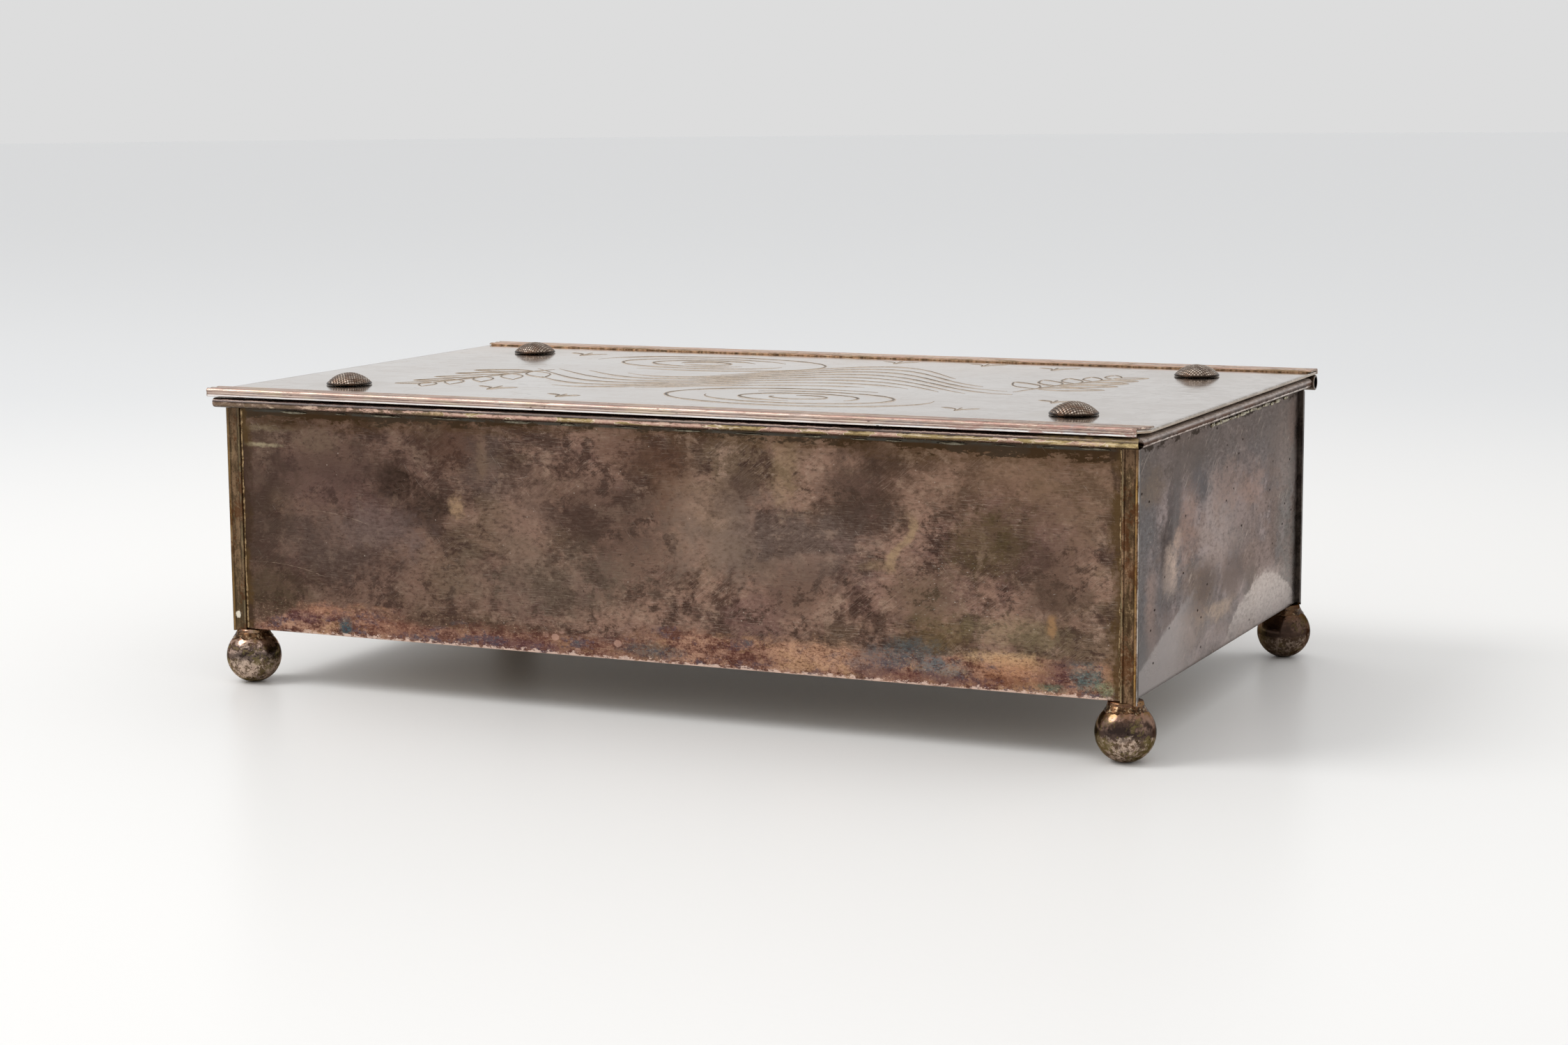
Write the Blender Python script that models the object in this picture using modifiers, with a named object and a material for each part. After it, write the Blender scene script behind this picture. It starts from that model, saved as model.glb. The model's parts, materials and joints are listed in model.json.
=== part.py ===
"""Silver-plated box: sheet-metal case on four ball feet, flat lid on a tube hinge.

Metres, +Z up. The origin is on the table under the middle of the footprint.
X runs along the front, the front faces -Y and the hinge is at the back, at +Y.
"""

import math

import bmesh
import bpy
from mathutils import Matrix

MM = 0.001

# Case, measured over the corner strips
CASE_LENGTH = 250.0 * MM
CASE_DEPTH = 145.5 * MM
CASE_HEIGHT = 61.7 * MM  # lower edge of the walls to the top of the rim
WALL_SHEET = 0.8 * MM
SIDE_INSET = 1.3 * MM  # the end walls stand in from the ends of the long walls
SEAT_GAP = 0.2 * MM  # room for the solder between two pieces
SHEET_EDGE_ROUND = 0.12 * MM

# Ridged strips on the ends of the long walls
CORNER_STRIP_WIDTH = 4.2 * MM
CORNER_STRIP_THICKNESS = 0.6 * MM
CORNER_STRIP_FLOOR = 0.3 * MM
CORNER_RIDGE_WIDTH = 0.9 * MM

# Half-round rim moulding
RIM_HEIGHT = 2.6 * MM
RIM_FRONT_STAND = 4.1 * MM  # out from the face of the corner strips
RIM_SIDE_STAND = 2.0 * MM  # out from the ends of the long walls
RIM_FRONT_DRESSED = 0.9 * MM  # filed off the tip of the front rail's mitres
RIM_SIDE_DRESSED = 1.4 * MM  # filed off the tips of the side rails' mitres

# Ball feet, each turned with its collar and peg
BALL_RADIUS = 7.2 * MM
BALL_WEAR_RADIUS = 1.2 * MM  # small flat worn on the underside
FOOT_INSET = 3.8 * MM  # ball centre in from the corner strips' two outer faces
FOOT_COLLAR_RADIUS = 4.4 * MM
FOOT_COLLAR_TOP_RADIUS = 4.1 * MM
FOOT_COLLAR_HEIGHT = 1.1 * MM
FOOT_PEG_RADIUS = 2.6 * MM
FOOT_PEG_HEIGHT = 0.6 * MM

# Lid
LID_SHEET = 0.8 * MM
LID_SIDE_OVERHANG = 2.7 * MM
LID_FRONT_OVERHANG = 4.3 * MM
LID_BACK_OVERHANG = 2.3 * MM
LID_CLEARANCE = 1.0 * MM  # lid plate above the rim

# Reeded strips along the lid's long edges
REED_STRIP_DEPTH = 7.0 * MM
REED_CREST = 0.7 * MM  # above the lid plate
REED_VALLEY = 0.4 * MM
REED_COUNT = 2  # low reeds behind the rolled nose
REED_NOSE_RADIUS = 0.7 * MM
LIP_THICKNESS = 1.2 * MM
LIP_BEAD_RADIUS = 0.35 * MM
LIP_REST = 0.3 * MM  # closed lid's front lip above the rim
CORNER_CUT_LENGTH = 3.1 * MM  # slant across the lid's front right corner, along X
CORNER_CUT_DEPTH = 4.6 * MM  # and back from the lid's front edge

# Domed studs
STUD_RADIUS = 6.0 * MM
STUD_HEIGHT = 3.0 * MM
STUD_RIM_HEIGHT = 0.4 * MM
STUD_INSET_X = 23.6 * MM  # from the ends of the long walls
STUD_INSET_Y = 23.0 * MM  # from the corner strips' faces

# Tube hinge
KNUCKLE_RADIUS = 2.1 * MM
KNUCKLE_WALL = 0.6 * MM
KNUCKLE_CHAMFER = 0.15 * MM
KNUCKLE_GAP = 0.2 * MM
KNUCKLE_COUNT = 7  # case and lid in turn, the case at both ends
BARREL_END_STAND = 2.4 * MM  # out from the ends of the long walls
PIN_CLEARANCE = 0.08 * MM  # radial
PIN_RECESS = 1.5 * MM  # pin ends inside the barrel's mouths

# Smoothness of the round shapes
FOOT_STEPS = 36
BALL_ARC_STEPS = 13
STUD_STEPS = 36
STUD_ARC_STEPS = 8
KNUCKLE_STEPS = 32
NOSE_ARC_STEPS = 10
REED_ARC_STEPS = 5
SHARP_ANGLE = math.radians(35.0)
MERGE_DISTANCE = 0.001 * MM

# Heights that follow
BALL_CENTRE_Z = math.sqrt(BALL_RADIUS**2 - BALL_WEAR_RADIUS**2)
COLLAR_BOTTOM_Z = BALL_CENTRE_Z + math.sqrt(BALL_RADIUS**2 - FOOT_COLLAR_RADIUS**2)
COLLAR_TOP_Z = COLLAR_BOTTOM_Z + FOOT_COLLAR_HEIGHT
PEG_TOP_Z = COLLAR_TOP_Z + FOOT_PEG_HEIGHT
WALL_Z = PEG_TOP_Z + SEAT_GAP
RIM_TOP_Z = WALL_Z + CASE_HEIGHT
RIM_BOTTOM_Z = RIM_TOP_Z - RIM_HEIGHT
LID_UNDER_Z = RIM_TOP_Z + LID_CLEARANCE
LID_TOP_Z = LID_UNDER_Z + LID_SHEET
HINGE_Z = LID_UNDER_Z - SEAT_GAP - KNUCKLE_RADIUS

# Hinge sizes that follow
KNUCKLE_BORE_RADIUS = KNUCKLE_RADIUS - KNUCKLE_WALL
PIN_RADIUS = KNUCKLE_BORE_RADIUS - PIN_CLEARANCE

# Places along X that follow, right-hand side
END_X = CASE_LENGTH / 2
SIDE_WALL_X = END_X - SIDE_INSET
SIDE_WALL_INNER_X = SIDE_WALL_X - WALL_SHEET
SIDE_RAIL_INNER_X = SIDE_WALL_X + SEAT_GAP
RIM_X = END_X + RIM_SIDE_STAND
LID_X = END_X + LID_SIDE_OVERHANG
BARREL_X = END_X + BARREL_END_STAND

# Places along Y that follow
STRIP_STAND = CORNER_STRIP_THICKNESS + SEAT_GAP
BARREL_STAND = SEAT_GAP + 2 * KNUCKLE_RADIUS - STRIP_STAND
FRONT_Y = LID_FRONT_OVERHANG - (LID_FRONT_OVERHANG + CASE_DEPTH + BARREL_STAND) / 2
BACK_Y = FRONT_Y + CASE_DEPTH
FRONT_WALL_Y = FRONT_Y + STRIP_STAND
FRONT_WALL_INNER_Y = FRONT_WALL_Y + WALL_SHEET
BACK_WALL_Y = BACK_Y - STRIP_STAND
BACK_WALL_INNER_Y = BACK_WALL_Y - WALL_SHEET
HINGE_Y = BACK_WALL_Y + SEAT_GAP + KNUCKLE_RADIUS
RIM_FRONT_Y = FRONT_Y - RIM_FRONT_STAND
SIDE_RAIL_BACK_Y = HINGE_Y - KNUCKLE_RADIUS - SEAT_GAP
LID_FRONT_Y = FRONT_Y - LID_FRONT_OVERHANG
LID_BACK_Y = BACK_Y + LID_BACK_OVERHANG

# Colours: linear RGB, roughness, metallic
FINISHES = {
    "front_plate": ((0.21, 0.14, 0.10), 0.36, 1.0),
    "side_plate": ((0.17, 0.15, 0.13), 0.38, 1.0),
    "lid_plate": ((0.62, 0.58, 0.54), 0.16, 1.0),
    "moulding": ((0.28, 0.21, 0.16), 0.30, 1.0),
    "copper_reeds": ((0.60, 0.42, 0.34), 0.25, 1.0),
    "ball": ((0.20, 0.14, 0.11), 0.22, 1.0),
    "stud": ((0.14, 0.12, 0.10), 0.32, 1.0),
    "hinge": ((0.16, 0.13, 0.11), 0.35, 1.0),
}


def clear_scene():
    for old in list(bpy.data.objects):
        bpy.data.objects.remove(old, do_unlink=True)


def make_collection(name):
    collection = bpy.data.collections.new(name)
    bpy.context.scene.collection.children.link(collection)
    return collection


def make_material(name, finish):
    colour, roughness, metallic = FINISHES[finish]
    material = bpy.data.materials.new(name)
    material.use_nodes = True
    shader = material.node_tree.nodes["Principled BSDF"]
    shader.inputs["Base Color"].default_value = (*colour, 1.0)
    shader.inputs["Roughness"].default_value = roughness
    shader.inputs["Metallic"].default_value = metallic
    return material


class Box:
    """Collects the box's sub-parts: the fixed case and the lid on its hinge axis."""

    def __init__(self):
        self.parts = make_collection("silver_plated_box")
        self.lid_pivot = bpy.data.objects.new("lid_pivot", None)
        self.lid_pivot.location = (0, HINGE_Y, HINGE_Z)
        self.parts.objects.link(self.lid_pivot)

    def add(self, name, mesh, finish, matrix=None, on_lid=False):
        mesh.name = name
        part = bpy.data.objects.new(name, mesh)
        part.matrix_world = matrix or Matrix.Identity(4)
        self.parts.objects.link(part)
        part.data.materials.clear()
        part.data.materials.append(make_material(name, finish))
        if on_lid:
            part.parent = self.lid_pivot
            part.matrix_parent_inverse = Matrix.Translation((0, -HINGE_Y, -HINGE_Z))
        return part


def arc(centre, radius, start, end, steps):
    """Points on an arc from one angle to another, both ends included."""
    points = []
    for step in range(steps + 1):
        angle = start + (end - start) * step / steps
        points.append((centre[0] + radius * math.cos(angle), centre[1] + radius * math.sin(angle)))
    return points


def block_mesh(low, high):
    """A box between two corners, from a unit cube."""
    mesh = bpy.data.meshes.new("block")
    shape = bmesh.new()
    bmesh.ops.create_cube(shape, size=1.0)
    size = [b - a for a, b in zip(low, high)]
    middle = [(a + b) / 2 for a, b in zip(low, high)]
    bmesh.ops.scale(shape, vec=size, verts=shape.verts)
    bmesh.ops.translate(shape, vec=middle, verts=shape.verts)
    shape.to_mesh(mesh)
    shape.free()
    return mesh


def extruded_mesh(outline, length):
    """A flat outline in local XY, drawn out along local Z and centred on it."""
    curve = bpy.data.curves.new("outline", "CURVE")
    curve.dimensions = "2D"
    curve.fill_mode = "BOTH"
    curve.extrude = length / 2
    spline = curve.splines.new("POLY")
    spline.points.add(len(outline) - 1)
    for point, (u, v) in zip(spline.points, outline):
        point.co = (u, v, 0, 1)
    spline.use_cyclic_u = True
    guide = bpy.data.objects.new("outline", curve)
    bpy.context.scene.collection.objects.link(guide)
    bpy.context.view_layer.update()
    solid = guide.evaluated_get(bpy.context.evaluated_depsgraph_get())
    mesh = bpy.data.meshes.new_from_object(solid)
    bpy.data.objects.remove(guide, do_unlink=True)
    bpy.data.curves.remove(curve)
    shape = bmesh.new()
    shape.from_mesh(mesh)
    bmesh.ops.remove_doubles(shape, verts=shape.verts, dist=MERGE_DISTANCE)
    bmesh.ops.recalc_face_normals(shape, faces=shape.faces)
    shape.to_mesh(mesh)
    shape.free()
    return mesh


def smooth(mesh):
    mesh.shade_smooth()
    mesh.set_sharp_from_angle(angle=SHARP_ANGLE)


def line_mesh(profile, closed):
    mesh = bpy.data.meshes.new("profile")
    edges = [(i, i + 1) for i in range(len(profile) - 1)]
    if closed:
        edges.append((len(profile) - 1, 0))
    mesh.from_pydata([(radius, 0, z) for radius, z in profile], edges, [])
    return mesh


def turn(part, steps):
    """Turns a profile of radius and height about the part's own Z axis."""
    screw = part.modifiers.new("turned", "SCREW")
    screw.steps = steps
    screw.render_steps = steps
    screw.use_merge_vertices = True
    screw.merge_threshold = MERGE_DISTANCE
    screw.use_smooth_shade = True
    return part


def soften(part, width):
    """Breaks the sharp sheared edges of sheet metal."""
    bevel = part.modifiers.new("broken_edges", "BEVEL")
    bevel.width = width
    bevel.segments = 1
    bevel.limit_method = "ANGLE"
    bevel.angle_limit = SHARP_ANGLE
    return part


# Walls and floor


def long_wall_outline():
    """Long wall with its top corners notched for the side rails of the rim."""
    notch_z = CASE_HEIGHT - RIM_HEIGHT - SEAT_GAP
    return [
        (-END_X, 0),
        (END_X, 0),
        (END_X, notch_z),
        (SIDE_WALL_X, notch_z),
        (SIDE_WALL_X, CASE_HEIGHT),
        (-SIDE_WALL_X, CASE_HEIGHT),
        (-SIDE_WALL_X, notch_z),
        (-END_X, notch_z),
    ]


def add_walls(box):
    upright = Matrix.Rotation(math.radians(90.0), 4, "X")
    for name, outer_y, inner_y in (
        ("front_wall", FRONT_WALL_Y, FRONT_WALL_INNER_Y),
        ("back_wall", BACK_WALL_Y, BACK_WALL_INNER_Y),
    ):
        mesh = extruded_mesh(long_wall_outline(), WALL_SHEET)
        place = Matrix.Translation((0, (outer_y + inner_y) / 2, WALL_Z))
        soften(box.add(name, mesh, "front_plate", place @ upright), SHEET_EDGE_ROUND)

    front = FRONT_WALL_INNER_Y + SEAT_GAP
    back = BACK_WALL_INNER_Y - SEAT_GAP
    for name, side in (("left_wall", -1), ("right_wall", 1)):
        faces = sorted((side * SIDE_WALL_INNER_X, side * SIDE_WALL_X))
        low = (faces[0], front, WALL_Z)
        high = (faces[1], back, RIM_TOP_Z)
        soften(box.add(name, block_mesh(low, high), "side_plate"), SHEET_EDGE_ROUND)

    floor_x = SIDE_WALL_INNER_X - SEAT_GAP
    mesh = block_mesh((-floor_x, front, WALL_Z), (floor_x, back, WALL_Z + WALL_SHEET))
    soften(box.add("bottom_plate", mesh, "side_plate"), SHEET_EDGE_ROUND)


# Corner strips


def corner_strip_outline():
    """Section in plan: a flat floor between two half-round ridges, back edge on v = 0."""
    radius = CORNER_RIDGE_WIDTH / 2
    level = CORNER_STRIP_THICKNESS - radius
    foot = math.asin((CORNER_STRIP_FLOOR - level) / radius)
    first = arc((CORNER_STRIP_WIDTH - radius, level), radius, 0, math.pi - foot, REED_ARC_STEPS)
    second = arc((radius, level), radius, foot, math.pi, REED_ARC_STEPS)
    return [(0, 0), (CORNER_STRIP_WIDTH, 0)] + first + second


def add_corner_strips(box):
    bottom = COLLAR_TOP_Z + SEAT_GAP
    for face, wall_y, outward, top in (
        ("front", FRONT_WALL_Y, -1, RIM_BOTTOM_Z - SEAT_GAP),
        ("back", BACK_WALL_Y, 1, HINGE_Z - KNUCKLE_RADIUS - SEAT_GAP),
    ):
        for side_name, side in (("left", -1), ("right", 1)):
            outline = [
                (side * (END_X - u), wall_y + outward * (SEAT_GAP + v))
                for u, v in corner_strip_outline()
            ]
            mesh = extruded_mesh(outline, top - bottom)
            smooth(mesh)
            place = Matrix.Translation((0, 0, (top + bottom) / 2))
            box.add(f"corner_strip_{face}_{side_name}", mesh, "moulding", place)


# Rim


def rim_outline(depth):
    """Half-round section: nose at u = 0, flat back at u = depth, mid-height at v = 0."""
    radius = RIM_HEIGHT / 2
    nose = arc((radius, 0), radius, math.pi / 2, math.pi * 3 / 2, NOSE_ARC_STEPS)
    return nose + [(depth, -radius), (depth, radius)]


def split_across(mesh, depth):
    """Adds an edge loop all round a moulding at a depth behind its nose."""
    shape = bmesh.new()
    shape.from_mesh(mesh)
    everything = shape.verts[:] + shape.edges[:] + shape.faces[:]
    bmesh.ops.bisect_plane(
        shape, geom=everything, dist=MERGE_DISTANCE, plane_co=(depth, 0, 0), plane_no=(1, 0, 0)
    )
    shape.to_mesh(mesh)
    shape.free()


def trim_end(mesh, end, reach):
    """Moves one end of a moulding that lies along local Z to a reach set by the depth."""
    for vertex in mesh.vertices:
        if math.copysign(1, vertex.co.z) == end:
            vertex.co.z = end * reach(vertex.co.x)


def add_rim(box):
    middle_z = (RIM_BOTTOM_Z + RIM_TOP_Z) / 2
    side_depth = RIM_X - SIDE_RAIL_INNER_X
    setback = SEAT_GAP * math.sqrt(1 / 2)

    front_depth = FRONT_WALL_Y - SEAT_GAP - RIM_FRONT_Y
    mesh = extruded_mesh(rim_outline(front_depth), CASE_LENGTH)
    split_across(mesh, side_depth)
    for end in (-1, 1):
        trim_end(
            mesh,
            end,
            lambda depth: RIM_X - max(setback + min(depth, side_depth), RIM_FRONT_DRESSED),
        )
    smooth(mesh)
    lay = Matrix(((0, 0, 1, 0), (1, 0, 0, RIM_FRONT_Y), (0, 1, 0, middle_z), (0, 0, 0, 1)))
    box.add("rim_rail_front", mesh, "moulding", lay)

    length = SIDE_RAIL_BACK_Y - RIM_FRONT_Y
    middle_y = (SIDE_RAIL_BACK_Y + RIM_FRONT_Y) / 2
    for name, side in (("rim_rail_left", -1), ("rim_rail_right", 1)):
        mesh = extruded_mesh(rim_outline(side_depth), length)
        trim_end(
            mesh, -side, lambda depth: length / 2 - max(setback + depth, RIM_SIDE_DRESSED)
        )
        smooth(mesh)
        lay = Matrix(
            (
                (-side, 0, 0, side * RIM_X),
                (0, 0, side, middle_y),
                (0, 1, 0, middle_z),
                (0, 0, 0, 1),
            )
        )
        box.add(name, mesh, "moulding", lay)


# Feet


def foot_profile():
    """Peg, collar and ball from the top down, on the outer side."""
    shoulder = math.asin((COLLAR_BOTTOM_Z - BALL_CENTRE_Z) / BALL_RADIUS)
    sole = -math.asin(BALL_CENTRE_Z / BALL_RADIUS)
    ball = arc((0, BALL_CENTRE_Z), BALL_RADIUS, shoulder, sole, BALL_ARC_STEPS)
    return (
        [
            (0, PEG_TOP_Z),
            (FOOT_PEG_RADIUS, PEG_TOP_Z),
            (FOOT_PEG_RADIUS, COLLAR_TOP_Z),
            (FOOT_COLLAR_TOP_RADIUS, COLLAR_TOP_Z),
        ]
        + ball
        + [(0, 0)]
    )


def add_feet(box):
    x = END_X - FOOT_INSET
    for face, y in (("front", FRONT_Y + FOOT_INSET), ("back", BACK_Y - FOOT_INSET)):
        for side_name, side in (("left", -1), ("right", 1)):
            mesh = line_mesh(foot_profile(), closed=False)
            place = Matrix.Translation((side * x, y, 0))
            turn(box.add(f"ball_foot_{face}_{side_name}", mesh, "ball", place), FOOT_STEPS)


# Lid


def corner_cut(depth):
    """How far the lid's front right corner is cut back, at a depth behind its front edge."""
    return CORNER_CUT_LENGTH * max(1 - depth / CORNER_CUT_DEPTH, 0)


def reed_strip_outline(lip_drop):
    """Section of a reeded strip: u in from its outer edge, v above the lid plate."""
    nose_end = math.asin((REED_VALLEY - REED_CREST + REED_NOSE_RADIUS) / REED_NOSE_RADIUS)
    nose = arc(
        (REED_NOSE_RADIUS, REED_CREST - REED_NOSE_RADIUS),
        REED_NOSE_RADIUS,
        math.pi + nose_end,
        nose_end,
        NOSE_ARC_STEPS,
    )
    bead = arc(
        (LIP_BEAD_RADIUS, LIP_BEAD_RADIUS - lip_drop),
        LIP_BEAD_RADIUS,
        math.pi * 3 / 2,
        math.pi * 5 / 6,
        REED_ARC_STEPS,
    )
    outline = [(LIP_THICKNESS, SEAT_GAP), (LIP_THICKNESS, -lip_drop)] + bead + nose

    start = nose[-1][0]
    width = (REED_STRIP_DEPTH - start) / REED_COUNT
    rise = REED_CREST - REED_VALLEY
    radius = (width**2 / 4 + rise**2) / (2 * rise)
    half_angle = math.asin(width / 2 / radius)
    for reed in range(REED_COUNT):
        centre = (start + width * (reed + 0.5), REED_CREST - radius)
        crest = arc(
            centre, radius, math.pi / 2 + half_angle, math.pi / 2 - half_angle, REED_ARC_STEPS
        )
        outline += crest[1:]
    return outline + [(REED_STRIP_DEPTH, SEAT_GAP)]


def add_lid_plate(box):
    setback = LIP_THICKNESS + SEAT_GAP
    front = LID_FRONT_Y + setback
    back = LID_BACK_Y - setback
    outline = [
        (-LID_X, front),
        (LID_X - corner_cut(setback), front),
        (LID_X, LID_FRONT_Y + CORNER_CUT_DEPTH),
        (LID_X, back),
        (-LID_X, back),
    ]
    mesh = extruded_mesh(outline, LID_SHEET)
    place = Matrix.Translation((0, 0, (LID_UNDER_Z + LID_TOP_Z) / 2))
    plate = box.add("lid_plate", mesh, "lid_plate", place, on_lid=True)
    soften(plate, SHEET_EDGE_ROUND)


def add_reed_strips(box):
    front_drop = LID_SHEET + LID_CLEARANCE - LIP_REST
    mesh = extruded_mesh(reed_strip_outline(front_drop), 2 * LID_X)
    split_across(mesh, CORNER_CUT_DEPTH)
    trim_end(mesh, 1, lambda depth: LID_X - corner_cut(depth))
    smooth(mesh)
    lay = Matrix(((0, 0, 1, 0), (1, 0, 0, LID_FRONT_Y), (0, 1, 0, LID_TOP_Z), (0, 0, 0, 1)))
    box.add("reed_strip_front", mesh, "copper_reeds", lay, on_lid=True)

    mesh = extruded_mesh(reed_strip_outline(LID_SHEET), 2 * LID_X)
    smooth(mesh)
    lay = Matrix(((0, 0, -1, 0), (-1, 0, 0, LID_BACK_Y), (0, 1, 0, LID_TOP_Z), (0, 0, 0, 1)))
    box.add("reed_strip_back", mesh, "copper_reeds", lay, on_lid=True)


def stud_profile():
    dome = [
        (
            STUD_RADIUS * math.cos(math.pi / 2 * (1 - step / STUD_ARC_STEPS)),
            STUD_RIM_HEIGHT
            + (STUD_HEIGHT - STUD_RIM_HEIGHT)
            * math.sin(math.pi / 2 * (1 - step / STUD_ARC_STEPS)),
        )
        for step in range(1, STUD_ARC_STEPS + 1)
    ]
    return [(0, STUD_HEIGHT)] + dome + [(STUD_RADIUS, 0), (0, 0)]


def add_studs(box):
    x = END_X - STUD_INSET_X
    for face, y in (("front", FRONT_Y + STUD_INSET_Y), ("back", BACK_Y - STUD_INSET_Y)):
        for side_name, side in (("left", -1), ("right", 1)):
            mesh = line_mesh(stud_profile(), closed=False)
            place = Matrix.Translation((side * x, y, LID_TOP_Z + SEAT_GAP))
            stud = box.add(f"lid_stud_{face}_{side_name}", mesh, "stud", place, on_lid=True)
            turn(stud, STUD_STEPS)


# Hinge


def knuckle_profile(length):
    """Closed section of one tube, outer side from the top down, then up the bore."""
    half = length / 2
    rim = KNUCKLE_RADIUS - KNUCKLE_CHAMFER
    return [
        (rim, half),
        (KNUCKLE_RADIUS, half - KNUCKLE_CHAMFER),
        (KNUCKLE_RADIUS, KNUCKLE_CHAMFER - half),
        (rim, -half),
        (KNUCKLE_BORE_RADIUS, -half),
        (KNUCKLE_BORE_RADIUS, half),
    ]


def add_hinge(box):
    along_x = Matrix.Rotation(math.radians(90.0), 4, "Y")
    pitch = (2 * BARREL_X + KNUCKLE_GAP) / KNUCKLE_COUNT
    counts = {"case": 0, "lid": 0}
    for index in range(KNUCKLE_COUNT):
        owner = "lid" if index % 2 else "case"
        counts[owner] += 1
        mesh = line_mesh(knuckle_profile(pitch - KNUCKLE_GAP), closed=True)
        x = pitch * (index + 0.5) - BARREL_X - KNUCKLE_GAP / 2
        place = Matrix.Translation((x, HINGE_Y, HINGE_Z)) @ along_x
        name = f"hinge_knuckle_{owner}_{counts[owner]}"
        knuckle = box.add(name, mesh, "hinge", place, on_lid=owner == "lid")
        turn(knuckle, KNUCKLE_STEPS)

    mesh = bpy.data.meshes.new("pin")
    shape = bmesh.new()
    bmesh.ops.create_cone(
        shape,
        cap_ends=True,
        segments=KNUCKLE_STEPS,
        radius1=PIN_RADIUS,
        radius2=PIN_RADIUS,
        depth=2 * (BARREL_X - PIN_RECESS),
    )
    shape.to_mesh(mesh)
    shape.free()
    smooth(mesh)
    place = Matrix.Translation((0, HINGE_Y, HINGE_Z)) @ along_x
    box.add("hinge_pin", mesh, "hinge", place)


def main():
    clear_scene()
    box = Box()
    add_walls(box)
    add_corner_strips(box)
    add_rim(box)
    add_feet(box)
    add_lid_plate(box)
    add_reed_strips(box)
    add_studs(box)
    add_hinge(box)


main()
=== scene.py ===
import json
import random
from math import acos, asin, atan2, cos, pi, radians, sin, sqrt, tau

import bmesh
import bpy
from mathutils import Matrix, Vector
from mathutils import noise as field


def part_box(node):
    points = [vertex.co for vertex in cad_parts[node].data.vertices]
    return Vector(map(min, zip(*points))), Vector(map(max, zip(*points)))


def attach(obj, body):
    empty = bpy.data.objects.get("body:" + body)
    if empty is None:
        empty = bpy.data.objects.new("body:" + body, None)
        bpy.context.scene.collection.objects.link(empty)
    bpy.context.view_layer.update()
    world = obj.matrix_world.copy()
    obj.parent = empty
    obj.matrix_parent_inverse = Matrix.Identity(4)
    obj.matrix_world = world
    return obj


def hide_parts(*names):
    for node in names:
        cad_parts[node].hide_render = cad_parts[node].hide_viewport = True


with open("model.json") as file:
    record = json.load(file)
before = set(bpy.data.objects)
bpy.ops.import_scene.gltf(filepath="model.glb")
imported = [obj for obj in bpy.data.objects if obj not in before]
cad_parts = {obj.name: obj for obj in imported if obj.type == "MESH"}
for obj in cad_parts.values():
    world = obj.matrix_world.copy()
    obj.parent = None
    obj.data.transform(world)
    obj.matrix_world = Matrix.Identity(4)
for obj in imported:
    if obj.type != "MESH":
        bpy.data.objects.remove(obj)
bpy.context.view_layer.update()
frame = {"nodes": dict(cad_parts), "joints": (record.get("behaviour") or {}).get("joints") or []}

NODES = frame["nodes"]
MM = 0.001
LOW, HIGH = 0, 1


def edge_of(node, end, axis):
    """Where a node's box ends along an axis, in mm."""
    return getattr(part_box(node)[end], axis) / MM


def middle_of(node):
    """The middle of a node's box as seen from above, in metres, at height 0."""
    low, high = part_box(node)
    return Vector(((low.x + high.x) / 2, (low.y + high.y) / 2, 0))


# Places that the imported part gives, in mm like all lengths below
FRONT_WALL_Y = edge_of("front_wall", LOW, "y")
BACK_WALL_Y = edge_of("back_wall", HIGH, "y")
SIDE_WALL_X = edge_of("right_wall", HIGH, "x")
STRIP_INNER_X = edge_of("corner_strip_front_right", LOW, "x")
STRIP_OUTER_X = edge_of("corner_strip_front_right", HIGH, "x")
WALL_Z = edge_of("front_wall", LOW, "z")
RIM_BOTTOM_Z = edge_of("rim_rail_front", LOW, "z")
LID_TOP_Z = edge_of("lid_plate", HIGH, "z")
LID_FRONT_Y = edge_of("reed_strip_front", LOW, "y")
LID_BACK_Y = edge_of("reed_strip_back", HIGH, "y")
LID_X = edge_of("lid_plate", HIGH, "x")
BACK_STRIP_Y = edge_of("reed_strip_back", LOW, "y")
HINGE_Y, HINGE_Z = (place / MM for place in frame["joints"][0]["pos_m"][1:])
HINGE_BORE = 1.5
CORNERS = ("front_left", "front_right", "back_left", "back_right")


def linear(colour):
    """Linear RGBA for a colour given in sRGB, 0 to 255."""
    out = []
    for c in colour:
        c = c / 255
        out.append(c / 12.92 if c <= 0.04045 else ((c + 0.055) / 1.055) ** 2.4)
    return (*out, 1.0)


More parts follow.
